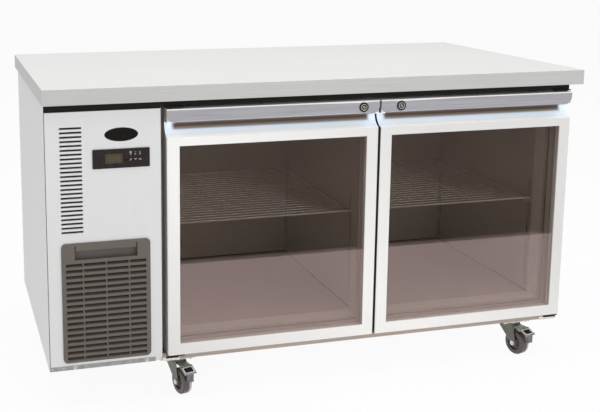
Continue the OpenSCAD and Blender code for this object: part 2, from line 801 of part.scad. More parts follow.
// The controller: a bezel over the panel and a case behind it.
module controller() color(dark_colour) difference() {
    x1 = controller_left + controller_w;
    z0 = controller_top - controller_h;
    face = y_panel - controller_proud;
    lap = controller_lap + 0.5;
    union() {
        round_plate(controller_left, x1, z0, controller_top, face, y_panel, 2.5);
        block([controller_left + lap, y_panel - 1, z0 + lap],
              [x1 - lap, y_panel + controller_depth, controller_top - lap]);
    }
    block([controller_left + 32, face - 1, controller_top - 12.5 - display_h],
          [controller_left + 32 + display_w, face + display_t, controller_top - 12.5]);
    for (i = [0 : 3]) {
        x = key_x0 + key_pitch * i;
        block([x - key_w / 2 - key_clear, face - 1, key_row - key_h / 2 - key_clear],
              [x + key_w / 2 + key_clear, face + 7 + key_travel, key_row + key_h / 2 + key_clear]);
    }
    for (i = [1 : 3]) {
        translate([key_x0 + key_pitch * i, 0, lamp_row]) rod_y(lamp_r + turn_clear, face - 1, face + 2);
    }
}

// The display window and three lamps, seated in the bezel.
module display_and_lamps() color([0.33, 0.31, 0.23]) {
    face = y_panel - controller_proud;
    block([controller_left + 32, face, controller_top - 12.5 - display_h],
          [controller_left + 32 + display_w, face + display_t, controller_top - 12.5]);
    for (i = [1 : 3]) {
        translate([key_x0 + key_pitch * i, 0, lamp_row]) rod_y(lamp_r, face - 0.3, face + 2);
    }
}

// One key, counted from the left.
module key(i) {
    x = key_x0 + key_pitch * i;
    face = y_panel - controller_proud;
    color([0.3, 0.28, 0.27]) block([x - key_w / 2, face - key_travel - 0.2, key_row - key_h / 2],
                                   [x + key_w / 2, face + 6, key_row + key_h / 2]);
}

module power_key() key(0);
module set_key() key(1);
module down_key() key(2);
module up_key() key(3);

// A wire shelf between two ends: wires along the width, a frame of rods round them, two rods below.
module shelf(x0, x1) {
    y0 = shelf_y0;
    y1 = shelf_y1;
    r = rail_d / 2;
    wire_r = wire_d / 2;
    lap = 0.6;
    wire_up = r - wire_r - 0.3;
    step = (y1 - y0 - 2 * r) / (wire_count + 1);
    color(steel_colour) translate([0, 0, shelf_z + r]) union() {
        for (y = [y0 + r, y1 - r]) {
            translate([0, y, 0]) rod_x(r - 0.2, x0 + r, x1 - r);
        }
        for (x = [x0 + r, x1 - r]) {
            translate([x, 0, 0]) rod_y(r, y0, y1);
        }
        for (i = [1 : wire_count]) {
            translate([0, y0 + r + step * i, wire_up]) rod_x(wire_r, x0 + r, x1 - r);
        }
        for (i = [1 : 2]) {
            x = x0 + (x1 - x0) * i / 3;
            translate([x, 0, wire_up - wire_r - r + lap]) rod_y(r, y0 + r, y1 - r);
        }
    }
}

module left_shelf() shelf(bays[0][0] + upright_t + 4, bays[0][1] - upright_t - 4);
module right_shelf() shelf(bays[1][0] + upright_t + 4, bays[1][1] - upright_t - 4);

// The slotted uprights and the clips under the shelf corners.
module shelf_supports() color([0.7, 0.71, 0.72]) {
    low = bay_z0 + 20;
    high = bay_z1 - 240;
    clip_z = shelf_z - clip_h;
    for (bay = bays) {
        for (side = [0, 1]) {
            wall = side == 0 ? bay[0] : bay[1] - upright_t;
            clip = side == 0 ? bay[0] + upright_t + part_gap : bay[1] - upright_t - part_gap - clip_l;
            for (y = [shelf_y0 + 4, shelf_y1 - 4 - upright_w]) {
                upright(wall, wall + upright_t, y, y + upright_w, low, high);
                block([clip, y, clip_z], [clip + clip_l, y + upright_w, shelf_z]);
            }
        }
    }
}

// One slotted upright. The slots run through its thin side and stop short of the clip.
module upright(x0, x1, y0, y1, z0, z1) difference() {
    block([x0, y0, z0], [x1, y1, z1]);
    for (i = [0 : 4]) {
        z = z0 + 20 + 40 * i;
        block([x0 - 1, (y0 + y1) / 2 - 2, z], [x1 + 1, (y0 + y1) / 2 + 2, z + 18]);
    }
}

// The gland that the supply cord passes through.
module cable_gland() color(dark_colour) translate([gland_x, 0, gland_z]) difference() {
    union() {
        rod_y(gland_r + 4, y_back, y_back + 9);
        rod_y(gland_r, y_back - 14, y_back + 1);
        rod_y(gland_r + 2, y_back + 8, y_back + 16);
        rod_y(gland_r + 4, y_back - 8, y_back - sheet_t);
    }
    rod_y(cord_r, y_back - 15, y_back + 17);
}

// Screws in the base rail and in the back panel.
module panel_screws() color([0.85, 0.85, 0.86]) {
    z = z_machine + base_rail_h / 2;
    for (x = [x_left + rail_screw_x, x_machine - rail_screw_end]) {
        translate([x, 0, z]) rod_y(5, y_panel - 1.6, y_panel);
    }
    for (x = [7, 35]) {
        translate([x_left + x, 0, z]) rod_y(2.4, y_panel - 1, y_panel);
    }
    for (x = [x_left + 34, x_machine - 14]) {
        for (z = [z_machine + 20, z_top - 20]) {
            translate([x, 0, z]) rod_y(5, y_back, y_back + 2);
        }
    }
}

// The four hinge plates with their pins. Each pin turns in a door's end.
module hinge_brackets() color([0.78, 0.78, 0.79]) {
    hinge_pair(left_door_x, 0);
    hinge_pair(right_door_x, 1);
}

module hinge_pair(x, flip) {
    y0 = y_door + 5;
    low = door_z - washer_gap - washer_t;
    high = door_z + door_h + washer_gap + washer_t;
    translate([x, 0, 0]) mirror([flip, 0, 0]) {
        union() {
            block([0, y0, low - hinge_t], [pin_inset + hinge_l, y_frame, low]);
            translate([pin_inset, y_door + pin_depth, 0]) rod_z(pin_r + 4, low - 1, low + washer_t);
            translate([pin_inset, y_door + pin_depth, 0]) rod_z(pin_r, low - 1, door_z + pin_l);
        }
        union() {
            block([0, y0, high], [pin_inset + hinge_l, y_frame, high + hinge_t]);
            block([0, y_frame - hinge_t, high], [pin_inset + hinge_l, y_frame, z_top - 1]);
            translate([pin_inset, y_door + pin_depth, 0]) rod_z(pin_r + 4, high - washer_t, high + 1);
            translate([pin_inset, y_door + pin_depth, 0]) rod_z(pin_r, door_z + door_h - pin_l, high + 1);
        }
    }
}

// A door is drawn with its hinge edge at x = 0, its face at y = 0 and its foot at z = 0.
module place_left() translate([left_door_x, y_door, door_z]) children();
module place_right() translate([right_door_x, y_door, door_z]) mirror([1, 0, 0]) children();

// The frame of a door: a chamfered slab with the glass opening, the groove for the panes,
// the finger recess with its curved slope, the hinge bores and the room for the lock.
module door_frame(lock_inset) {
    lock_x = door_w - lock_inset;
    top = door_h - cap_t;
    c = door_chamfer;
    glass_z1 = door_h - top_rail_h;
    difference() {
        linear_extrude(top) polygon([[0, door_t], [0, c], [c, 0], [door_w - c, 0], [door_w, c], [door_w, door_t]]);
        block([stile_w, -1, bottom_rail_h], [door_w - stile_w, door_t + 1, glass_z1]);
        block([stile_w - rebate, glass_setback, bottom_rail_h - rebate],
              [door_w - stile_w + rebate, glass_setback + glazing_t, glass_z1 + rebate]);
        intersection() {
            translate([0, recess_d - scoop_r, scoop_z]) rod_x(scoop_r, -1, door_w + 1);
            block([-1, -1, scoop_z - scoop_h - 1], [door_w + 1, recess_d + 1, scoop_z]);
        }
        block([-1, -1, scoop_z - 0.01], [door_w + 1, handle_back, door_h]);
        block([hinge_block, -1, scoop_z - 0.01], [lock_x - lock_block, recess_d, door_h]);
        block([lock_x + lock_block, -1, scoop_z - 0.01], [door_w - lock_end_block, recess_d, door_h]);
        for (z = [-1, top - pin_l + cap_t - 1]) {
            translate([pin_inset, pin_depth, z]) cylinder(r = pin_r + turn_clear, h = pin_l + 2);
        }
        translate([lock_x, 0, lock_z]) rod_y(lock_r + turn_clear, -1, cam_room0 + 1);
        block([lock_x - cam_l - 3, cam_room0, lock_z - cam_w - 5], [lock_x + cam_w + 5, cam_room1, door_h]);
    }
}

// The handle: a strip with round lower corners, a bead along its edge and a top plate.
module door_handle(lock_inset) {
    lock_x = door_w - lock_inset;
    z0 = door_h - strip_h;
    r = handle_r;
    difference() {
        union() {
            translate([0, handle_back, 0]) rotate([90, 0, 0]) linear_extrude(handle_t) union() {
                translate([r, z0]) square([door_w - 2 * r, strip_h]);
                translate([0, z0 + r]) square([door_w, strip_h - r]);
                intersection() {
                    translate([0, z0]) square([door_w, strip_h]);
                    union() {
                        translate([r, z0 + r]) circle(r = r);
                        translate([door_w - r, z0 + r]) circle(r = r);
                    }
                }
            }
            translate([0, handle_back - 2, z0 + 2]) rod_x(2, r, door_w - r);
            block([0, -handle_proud, door_h - cap_t], [door_w, cap_d, door_h]);
            translate([lock_x, 0, lock_z]) rod_y(lock_ring_r, -handle_proud - lock_ring_h, 0);
        }
        translate([lock_x, 0, lock_z]) rod_y(lock_r + turn_clear, -20, handle_back + 1);
        translate([pin_inset, pin_depth, 0]) rod_z(pin_r + 1, door_h - cap_t - 1, door_h + 1);
    }
}

// The two panes of a door.
module door_glass() {
    g = stile_w - rebate + glass_clear;
    z0 = bottom_rail_h - rebate + glass_clear;
    z1 = door_h - top_rail_h + rebate - glass_clear;
    for (y = [glass_setback, glass_setback + pane_t + pane_gap]) {
        block([g, y, z0], [door_w - g, y + pane_t, z1]);
    }
}

// The spacer between the panes.
module door_spacer() {
    g = stile_w - rebate + glass_clear;
    z0 = bottom_rail_h - rebate + glass_clear;
    z1 = door_h - top_rail_h + rebate - glass_clear;
    y0 = glass_setback + pane_t;
    ring_plate(g, door_w - g, z0, z1, spacer_w, y0, y0 + pane_gap);
}

// The gasket behind a door: a flat foot and a narrower bulb.
module door_gasket() {
    i = gasket_inset;
    union() {
        ring_plate(i, door_w - i, i, door_h - i, gasket_w, door_t, door_t + 4);
        ring_plate(i + 2, door_w - i - 2, i + 2, door_h - i - 2, gasket_w - 4, door_t + 3, door_t + gasket_t);
    }
}

// A lock barrel with its key slot and the stub for the cam.
module lock_barrel(lock_inset) translate([door_w - lock_inset, 0, lock_z]) difference() {
    union() {
        rod_y(lock_r, -handle_proud - lock_ring_h - 1, cam_room0);
        rod_y(cam_stub_r, cam_room0 - 1, cam_room0 + cam_t + 3);
    }
    block([-1, -handle_proud - lock_ring_h - 2, -4], [1, -handle_proud + 4, 4]);
}

// A lock cam, lying flat when unlocked. Turned up it catches behind the black strip.
module lock_cam(lock_inset) translate([door_w - lock_inset, cam_room0 + 1, lock_z]) difference() {
    union() {
        rod_y(cam_w, 0, cam_t);
        block([-cam_l, 0, -cam_w], [0, cam_t, cam_w]);
    }
    rod_y(cam_stub_r + turn_clear, -1, cam_t + 1);
}

module left_door_frame() color(pale_colour) place_left() door_frame(left_lock_inset);
module left_door_handle() color(steel_colour) place_left() door_handle(left_lock_inset);
module left_door_glass() color(glass_colour) place_left() door_glass();
module left_door_spacer() color(dark_colour) place_left() door_spacer();
module left_door_gasket() color(grey_colour) place_left() door_gasket();
module left_lock_barrel() color(steel_colour) place_left() lock_barrel(left_lock_inset);
module left_lock_cam() color(steel_colour) place_left() lock_cam(left_lock_inset);
module right_door_frame() color(pale_colour) place_right() door_frame(right_lock_inset);
module right_door_handle() color(steel_colour) place_right() door_handle(right_lock_inset);
module right_door_glass() color(glass_colour) place_right() door_glass();
module right_door_spacer() color(dark_colour) place_right() door_spacer();
module right_door_gasket() color(grey_colour) place_right() door_gasket();
module right_lock_barrel() color(steel_colour) place_right() lock_barrel(right_lock_inset);
module right_lock_cam() color(steel_colour) place_right() lock_cam(right_lock_inset);

// The grille in front of the condenser, with sloping louvres and a finger pocket.
module filter_grille() color(grey_colour) {
    x0 = grille_left;
    x1 = grille_left + grille_w;
    face = y_panel - grille_proud;
    lap = grille_lap + grille_clear;
    xm = (x0 + x1) / 2;
    first = grille_top - pocket_h - 20;
    low = grille_low + lap;
    union() {
        difference() {
            union() {
                round_plate(x0, x1, grille_low, grille_top, face, y_panel, grille_r);
                block([x0 + lap, y_panel - 1, grille_low + lap], [x1 - lap, y_panel + grille_insert, grille_top - lap]);
            }
            for (i = [0 : louvre_count - 1]) {
                translate([0, y_panel, first - louvre_pitch * i]) rotate([louvre_slope, 0, 0])
                    block([x0 + lap + 3, -40, -louvre_h / 2], [x1 - lap - 3, 40, louvre_h / 2]);
            }
            block([xm - pocket_w / 2, face - 1, grille_top - 8 - pocket_h],
                  [xm + pocket_w / 2, y_panel + grille_insert - 3, grille_top - 8]);
        }
        block([xm - pocket_w / 2 + pocket_bar_gap, face, grille_top - 8 - pocket_bar_h],
              [xm + pocket_w / 2 - pocket_bar_gap, face + pocket_bar_t, grille_top - 7.5]);
        for (x = [x0 + 0.24 * grille_w, xm, x1 - 0.24 * grille_w]) {
            block([x - rib_w / 2, face + 2, low], [x + rib_w / 2, y_panel + grille_insert, first + 6]);
        }
    }
}

// The filter mat behind the grille.
module filter_mat() color([0.25, 0.24, 0.23]) {
    lap = grille_lap + grille_clear;
    y0 = y_panel + grille_insert;
    block([grille_left + lap + 1, y0, grille_low + lap + 1],
          [grille_left + grille_w - lap - 1, y0 + filter_t, grille_top - lap - 1]);
}

// Five flat blades set at a slant on a hub, turning round the Y axis.
module fan_wheel(r, hub, depth, shaft_r, shaft_l) {
    union() {
        rod_y(hub, -depth, 0);
        rod_y(shaft_r, -1, shaft_l);
        for (i = [0 : 4]) {
            rotate([0, 72 * i, 0]) translate([hub - 3, -depth / 2, 0]) rotate([32, 0, 0])
                block([0, -1, -depth * 0.75], [r - hub - 2, 1, depth * 0.75]);
        }
    }
}

module condenser_fan() color(dark_colour) translate([set_xm, motor_y - 0.5, fan_z]) fan_wheel(fan_r, 24, 22, 4, 24);
module evaporator_fan() color(dark_colour) translate([evap_fan_x + 0.5, evap_fan_y, evap_fan_z])
    rotate([0, 0, 90]) fan_wheel(68, 18, 18, 3, 16);

// A castor's top plate with the fixed half of the race and four bolt heads.
module castor_plates() color([0.72, 0.72, 0.7]) {
    for (x = [castor_xl, castor_xr]) {
        for (y = [castor_yf, castor_yb]) {
            translate([x, y, 0]) difference() {
                union() {
                    block([-plate_l / 2, -plate_d / 2, castor_h - plate_t], [plate_l / 2, plate_d / 2, castor_h]);
                    rod_z(crown_r, race_z, castor_h - 1);
                    for (a = [-1, 1]) {
                        for (b = [-1, 1]) {
                            translate([a * (plate_l / 2 - 9), b * (plate_d / 2 - 9), 0])
                                rod_z(5, castor_h - plate_t - 3.5, castor_h - 1);
                        }
                    }
                }
                rod_z(king_r + turn_clear, race_z - 1, castor_h + 1);
            }
        }
    }
}

// A fork: crown, kingpin, two legs and the axle bolt.
module castor_fork() color([0.62, 0.62, 0.58]) {
    difference() {
        union() {
            rod_z(crown_r, crown_z0, crown_z1);
            rod_z(king_r, crown_z0, castor_h - 0.5);
            fork_leg(fork_x);
            fork_leg(-fork_x - fork_t);
        }
        translate([0, -trail, wheel_r]) rod_x(axle_r + turn_clear, -60, 60);
        translate([0, brake_y, brake_z]) rod_x(brake_r + turn_clear, -60, 60);
    }
    translate([0, -trail, wheel_r]) union() {
        rod_x(axle_r, -fork_x - fork_t - 1, fork_x + fork_t + 6);
        rod_x(7, -fork_x - fork_t - 4, -fork_x - fork_t - part_gap);
        rod_x(7, fork_x + fork_t + part_gap, fork_x + fork_t + 4);
    }
}

// One leg of a fork: a sloping plate with a round end at the axle.
module fork_leg(x) {
    half = sqrt(crown_r * crown_r - (fork_x + fork_t) * (fork_x + fork_t));
    translate([x, 0, 0]) rotate([90, 0, 90]) linear_extrude(fork_t) union() {
        polygon([[-half, crown_z1], [leg_back, crown_z1], [leg_back, crown_z0 - 10], [-trail + boss_r, wheel_r],
                 [-trail - boss_r, wheel_r], [-half - 10, crown_z0 - 6]]);
        translate([-trail, wheel_r]) circle(r = boss_r);
    }
}

// A wheel: a hub with a thin web, and a tyre with round shoulders.
module castor_wheel() translate([0, -trail, wheel_r]) rotate([0, 90, 0]) {
    w = wheel_w / 2;
    s = 5;
    color([0.6, 0.58, 0.56]) rotate_extrude() polygon([
        [axle_r + turn_clear, -w - 1], [10, -w - 1], [10, -6], [hub_r - part_gap, -6],
        [hub_r - part_gap, 6], [10, 6], [10, w + 1], [axle_r + turn_clear, w + 1]]);
    color(dark_colour) rotate_extrude() union() {
        translate([hub_r, -w]) square([wheel_r - s - hub_r, 2 * w]);
        translate([hub_r, -w + s]) square([wheel_r - hub_r, 2 * w - 2 * s]);
        translate([wheel_r - s, w - s]) circle(r = s);
        translate([wheel_r - s, -w + s]) circle(r = s);
    }
}

// A brake pedal: a hub on a pin, an arm over the wheel, a shoe, a sloping toe plate and a lip below it.
module castor_brake() {
    h = fork_x - 0.5;
    p = -trail - 22;
    color([0.7, 0.7, 0.67]) difference() {
        union() {
            translate([0, brake_y, brake_z]) rod_x(4, -h, h);
            translate([0, brake_y, brake_z]) rod_x(brake_r, -fork_x - fork_t - 2, fork_x + fork_t + 2);
            block([-h, p, brake_z + 1], [h, brake_y, brake_z + 3.5]);
            block([-9, shoe_y - 12, shoe_top + shoe_drop + 0.5], [9, shoe_y, brake_z + 2]);
            translate([0, p, brake_z + 1]) rotate([24, 0, 0]) block([-h - 3, -30, 0], [h + 3, 1, 2.5]);
            block([-toe_lip_w / 2, p - 27, brake_z - 9 - toe_lip_h], [toe_lip_w / 2, p - 22.5, brake_z - 9]);
        }
        translate([0, p, brake_z + 1]) rotate([24, 0, 0]) block([-h + 2, -24, -1], [h - 2, -7, 4]);
    }
    color(dark_colour) translate([0, p, brake_z + 1]) rotate([24, 0, 0])
        block([-h + 2 + part_gap, -24 + part_gap, 0], [h - 2 - part_gap, -7 - part_gap, 2]);
}

module front_left_fork() translate([castor_xl, castor_yf, 0]) rotate([0, 0, castor_turn]) castor_fork();
module front_left_wheel() translate([castor_xl, castor_yf, 0]) rotate([0, 0, castor_turn]) castor_wheel();
module front_left_brake() translate([castor_xl, castor_yf, 0]) rotate([0, 0, castor_turn]) castor_brake();
module front_right_fork() translate([castor_xr, castor_yf, 0]) rotate([0, 0, castor_turn]) castor_fork();
module front_right_wheel() translate([castor_xr, castor_yf, 0]) rotate([0, 0, castor_turn]) castor_wheel();
module front_right_brake() translate([castor_xr, castor_yf, 0]) rotate([0, 0, castor_turn]) castor_brake();
module rear_left_fork() translate([castor_xl, castor_yb, 0]) rotate([0, 0, castor_turn]) castor_fork();
module rear_left_wheel() translate([castor_xl, castor_yb, 0]) rotate([0, 0, castor_turn]) castor_wheel();
module rear_right_fork() translate([castor_xr, castor_yb, 0]) rotate([0, 0, castor_turn]) castor_fork();
module rear_right_wheel() translate([castor_xr, castor_yb, 0]) rotate([0, 0, castor_turn]) castor_wheel();

cabinet_shell();
insulation_foam();
inner_liner();
front_frame();
worktop();
worktop_core();
top_strip();
machine_side_panel();
machine_back_panel();
machine_front_panel();
base_rail();
machine_tray();
compressor();
condenser();
fan_shroud();
fan_motors();
evaporator();
evaporator_cover();
refrigerant_lines();
controller();
display_and_lamps();
left_shelf();
right_shelf();
shelf_supports();
cable_gland();
panel_screws();
hinge_brackets();
castor_plates();
condenser_fan();
evaporator_fan();
filter_grille();
filter_mat();
power_key();
set_key();
down_key();
up_key();
left_door_frame();
left_door_handle();
left_door_glass();
left_door_spacer();
left_door_gasket();
left_lock_barrel();
left_lock_cam();
right_door_frame();
right_door_handle();
right_door_glass();
right_door_spacer();
right_door_gasket();
right_lock_barrel();
right_lock_cam();
front_left_fork();
front_left_wheel();
front_left_brake();
front_right_fork();
front_right_wheel();
front_right_brake();
rear_left_fork();
rear_left_wheel();
rear_right_fork();
rear_right_wheel();
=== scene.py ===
"""A counter refrigerator with two glass doors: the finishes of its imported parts, the small pieces
that only the eye needs, the studio round it and the camera."""

import json
import math

import bmesh
import bpy
from mathutils import Matrix, Vector


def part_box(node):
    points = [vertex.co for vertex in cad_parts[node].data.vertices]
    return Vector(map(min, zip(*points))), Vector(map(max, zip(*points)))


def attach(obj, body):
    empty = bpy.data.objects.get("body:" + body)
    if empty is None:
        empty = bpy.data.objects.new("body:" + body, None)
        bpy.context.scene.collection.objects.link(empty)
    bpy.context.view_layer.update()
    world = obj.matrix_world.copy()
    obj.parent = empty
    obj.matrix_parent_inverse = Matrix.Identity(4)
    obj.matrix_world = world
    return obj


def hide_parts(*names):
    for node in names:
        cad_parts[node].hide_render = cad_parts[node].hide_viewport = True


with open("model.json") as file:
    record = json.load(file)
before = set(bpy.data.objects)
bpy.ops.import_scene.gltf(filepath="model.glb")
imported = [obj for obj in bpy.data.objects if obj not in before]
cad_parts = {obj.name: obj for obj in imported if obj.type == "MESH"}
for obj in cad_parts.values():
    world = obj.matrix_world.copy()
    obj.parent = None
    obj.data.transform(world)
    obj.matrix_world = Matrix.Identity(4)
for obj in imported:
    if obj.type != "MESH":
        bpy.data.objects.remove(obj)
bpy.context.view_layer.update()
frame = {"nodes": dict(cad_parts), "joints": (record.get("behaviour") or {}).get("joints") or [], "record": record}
MM = 0.001
BODY = {node: body for body, held in frame["record"]["behaviour"]["bodies"].items() for node in held}
SLOT = {row["node"]: row["material_slot"] for row in frame["record"]["subparts"]}
# Where each hinge joint's axis lies, by the body that turns on it.
PIVOT = {row["child"]: (Vector(row["pos_m"]), Vector(row["axis"]))
         for row in frame["joints"] if row["type"] == "hinge"}
# A face looks along an axis when its normal has at least this share along it.
FACING = 0.9
# A noise seldom leaves this range, so finishes spread it to the whole of 0 to 1.
NOISE_LOW, NOISE_HIGH = 0.3, 0.7
# How much of a finish's colour a blotch decides.
BLOTCH_SHARE = 0.45


def linear(code):
    """An sRGB hex colour as linear red, green, blue and a full alpha."""
    parts = [int(code[i:i + 2], 16) / 255 for i in (1, 3, 5)]
    return tuple(c / 12.92 if c <= 0.04045 else ((c + 0.055) / 1.055) ** 2.4 for c in parts) + (1.0,)


def put(tree, kind, sockets=None, **settings):
    """Adds a shader node with its settings, and fills its inputs with values or with other outputs."""
    node = tree.nodes.new("ShaderNode" + kind)
    for name, value in settings.items():
        setattr(node, name, value)
    for name, value in (sockets or {}).items():
        if isinstance(value, bpy.types.NodeSocket):
            tree.links.new(value, node.inputs[name])
        else:
            node.inputs[name].default_value = value
    return node


def speckle(tree, size, detail=2.0):
    """A noise between 0 and 1 whose patches measure size millimetres along the piece's X, Y and Z."""
    place = put(tree, "TexCoord")
    grid = put(tree, "Mapping", {"Vector": place.outputs["Object"], "Scale": [1000 / s for s in size]})
    noise = put(tree, "TexNoise", {"Vector": grid.outputs["Vector"], "Scale": 1.0, "Detail": detail})
    return noise.outputs["Fac"]


def new_material(name):
    """A material without a finish yet, with its node tree and its shader."""
    made = bpy.data.materials.new(name)
    made.use_nodes = True
    return made, made.node_tree, made.node_tree.nodes["Principled BSDF"]


def finish(name, light, dark, size, metallic, rough, dent=0.0, detail=2.0, blotch=None, **sockets):
    """A material whose colour runs from dark to light over a speckle of the given size, whose roughness
    runs over it between two values, and whose surface is dented by it, in millimetres. A blotch is a
    second, larger speckle that shifts the colour a little, as handling and cleaning do."""
    made, tree, shader = new_material(name)
    fine = speckle(tree, size, detail)
    spread = put(tree, "MapRange", {"Value": fine, "From Min": NOISE_LOW, "From Max": NOISE_HIGH})
    tone = spread.outputs["Result"]
    if blotch:
        wide = speckle(tree, blotch, 1.0)
        tone = put(tree, "Mix", {0: BLOTCH_SHARE, 2: tone, 3: wide}, data_type="FLOAT").outputs[0]
    shade = put(tree, "Mix", {0: tone, 6: linear(dark), 7: linear(light)}, data_type="RGBA")
    tree.links.new(shade.outputs[2], shader.inputs["Base Color"])
    gloss = put(tree, "MapRange", {"Value": fine, "From Min": NOISE_LOW, "From Max": NOISE_HIGH,
                                   "To Min": rough[0], "To Max": rough[1]})
    tree.links.new(gloss.outputs["Result"], shader.inputs["Roughness"])
    if dent:
        bump = put(tree, "Bump", {"Height": fine, "Strength": 1.0, "Distance": dent * MM})
        tree.links.new(bump.outputs["Normal"], shader.inputs["Normal"])
    shader.inputs["Metallic"].default_value = metallic
    for key, value in sockets.items():
        shader.inputs[key.replace("_", " ")].default_value = value
    return made


def recolour(made, share, code):
    """Turns a finish's colour into another one, by a share between 0 and 1 that another node gives."""
    tree = made.node_tree
    base = tree.nodes["Principled BSDF"].inputs["Base Color"]
    both = put(tree, "Mix", {0: share, 6: base.links[0].from_socket, 7: linear(code)}, data_type="RGBA")
    tree.links.new(both.outputs[2], base)


# Finishes

# Stainless sheet with a brushed grain: pale, with soft streaks along the grain. A real grain is about
# 0.1 mm across, so the streaks are drawn 3 or 4 mm across to show at all, here and in the other brushed
# finishes.
worktop_steel = finish("brushed stainless worktop", "#D6D6D4", "#CFCFCD", (260, 4, 4), 0.3, (0.36, 0.46),
                       blotch=(420, 300, 300))
# The same sheet on the front and back edges and, darker still, on the ends: painted shade by which way the face
# looks.
worktop_edge_shade = finish("brushed stainless edge in painted shade", "#C7C7C6", "#C0C0BF", (260, 4, 4), 0.3, (0.36, 0.46))
worktop_end_shade = finish("brushed stainless end in painted shade", "#BABAB9", "#B3B3B2", (4, 260, 4), 0.3, (0.36, 0.46))
panel_steel = finish("brushed stainless panel", "#E3E3E3", "#DFDFDF", (4, 4, 240), 0.35, (0.36, 0.46),
                     blotch=(300, 300, 420))
# The side panel: the same sheet a step darker than the front panel, as painted shade on the side.
side_steel = finish("brushed stainless side", "#DBDBDB", "#D5D5D5", (4, 4, 240), 0.35, (0.36, 0.46),
                    blotch=(300, 300, 420))
shell_steel = finish("brushed stainless shell", "#DCDCDC", "#CFCFD0", (4, 4, 240), 0.45, (0.36, 0.46),
                     blotch=(300, 300, 420))
# Sill of the front frame, under the doors: the same sheet with a warm brown tone, as it shows in the shade.
sill_steel = finish("stainless sill", "#BBACA3", "#AC9D95", (200, 4, 4), 0.45, (0.36, 0.46))
# Painted shade just under each slot in the panel: a dark strip, so each slot shows as a darker, thicker line.
slot_shade = finish("painted slot shade", "#43393A", "#372E2F", (20, 3, 3), 0.0, (0.5, 0.6), IOR=1.5)

# Anodised aluminium strip, brushed along its length: a cool grey with a faint silk.
handle_grey = finish("anodised aluminium handle", "#B0AFB5", "#A09FA5", (160, 3, 3), 0.45, (0.30, 0.40))
# The strip's underside and its bead: the same aluminium, dull and brown as painted shade under the strip.
handle_shade = finish("aluminium underside in painted shade", "#8E7A6D", "#6E5B4E", (60, 4, 4), 0.0, (0.5, 0.6))
# The strip's top edge: a painted highlight, so it shows as a white line.
handle_edge_highlight = finish("anodised edge with painted highlight", "#FAFAFB", "#F0F0F2", (160, 3, 3), 0.3, (0.25, 0.32))

# PVC edge profiles of a door: a matt warm grey along the hinges, warmed as painted shade of the gap there, and a
# dark grey of painted shade where the two doors meet, so that the gap between them shows as a dark line.
flank_pvc = finish("moulded pvc flank", "#B0A79E", "#A69D94", (5, 5, 5), 0.0, (0.5, 0.6), IOR=1.53)
meeting_pvc_shade = finish("pvc edge in painted shade", "#4A4844", "#403E3A", (5, 5, 5), 0.0, (0.5, 0.6), IOR=1.53)
# ABS inner face of a door: a smooth off-white.
inner_abs = finish("vacuum formed abs", "#E4E3DF", "#DCDBD7", (30, 30, 30), 0.0, (0.35, 0.45), IOR=1.53)
# Magnetic gasket: soft grey PVC with a dull skin.
gasket_pvc = finish("soft pvc gasket", "#6E6863", "#5E5853", (5, 5, 5), 0.0, (0.55, 0.7), dent=0.05, IOR=1.5)
# Spacer bar between the panes: mill finished aluminium, which shows as a greyer band inside the glass, at
# the foot and on the side away from the eye.
spacer_bar = finish("aluminium spacer bar", "#E0DCD8", "#D0CCC8", (3, 3, 3), 0.2, (0.4, 0.5))
# Hinges: a brown black paint, half matt.
hinge_black = finish("black painted hinge", "#2E241F", "#231B17", (8, 8, 8), 0.0, (0.4, 0.5), IOR=1.5,
                     Specular_IOR_Level=0.2)
# Lock barrels and cams: a grey nickel shine.
lock_nickel = finish("nickel plated lock", "#B9B6B2", "#96938F", (3, 3, 3), 0.9, (0.2, 0.3))
# Bezel of a lock: a plain black. The same black is painted shade in the lock's slot and in the crosses of the
# screws.
black_and_recess_shade = finish("black bezel and painted recess shade", "#221E1C", "#191614", (3, 3, 3), 0.0, (0.3, 0.4), IOR=1.5,
                    Specular_IOR_Level=0.2)

# Cold rolled stainless inside the bays: smoother than the outside, so it mirrors softly.
liner_steel = finish("rolled stainless liner", "#DAD6D2", "#D2CECA", (240, 240, 240), 0.1, (0.32, 0.40))
# Front wire of a shelf: white, a painted highlight, so that the shelf's edge stands out.
front_wire_highlight = finish("wire with painted highlight", "#FFFFFF", "#F6F5F3", (8, 8, 8), 0.0, (0.3, 0.4), IOR=1.5)
# Shelf wire, nickel plated: it mirrors the bright studio in front, so each wire shows as a pale line.
shelf_wire = finish("nickel plated wire", "#F4F1EE", "#E6E3E0", (8, 8, 8), 0.9, (0.2, 0.28))
# Slotted uprights and clips of the shelves: pressed stainless, shinier and greyer than the wall behind.
upright_steel = finish("pressed stainless upright", "#CFCDCB", "#BDBBB9", (4, 4, 80), 0.6, (0.25, 0.35))
# Painted shade along the corners of a bay's floor: a thin dark bead.
corner_shade = finish("painted corner shade", "#3A3431", "#2E2926", (6, 6, 6), 0.0, (0.5, 0.6), dent=0.05, IOR=1.42)
# Breaker strips round the mouth of each bay: white PVC, which shows through the glass as a paler band along
# the foot and the right side.
breaker_pvc = finish("white pvc breaker strip", "#FBFAF8", "#F3F2F0", (20, 20, 20), 0.0, (0.4, 0.5),
                     IOR=1.53)

# Foam strip under the worktop: deep black, matt and slightly pitted, with the pits drawn coarser than real.
foam_black = finish("black foam strip", "#2B2824", "#1E1B18", (2.5, 2.5, 2.5), 0.0, (0.7, 0.85), dent=0.1,
                    IOR=1.45, Specular_IOR_Level=0.2)
# Moulded ABS of the grille: warm dark grey with a spark-eroded grain, drawn coarser than real to show.
grille_abs = finish("moulded abs grille", "#6A625B", "#5A534D", (2.5, 2.5, 2.5), 0.0, (0.45, 0.58),
                    dent=0.04, blotch=(60, 60, 60), IOR=1.53)
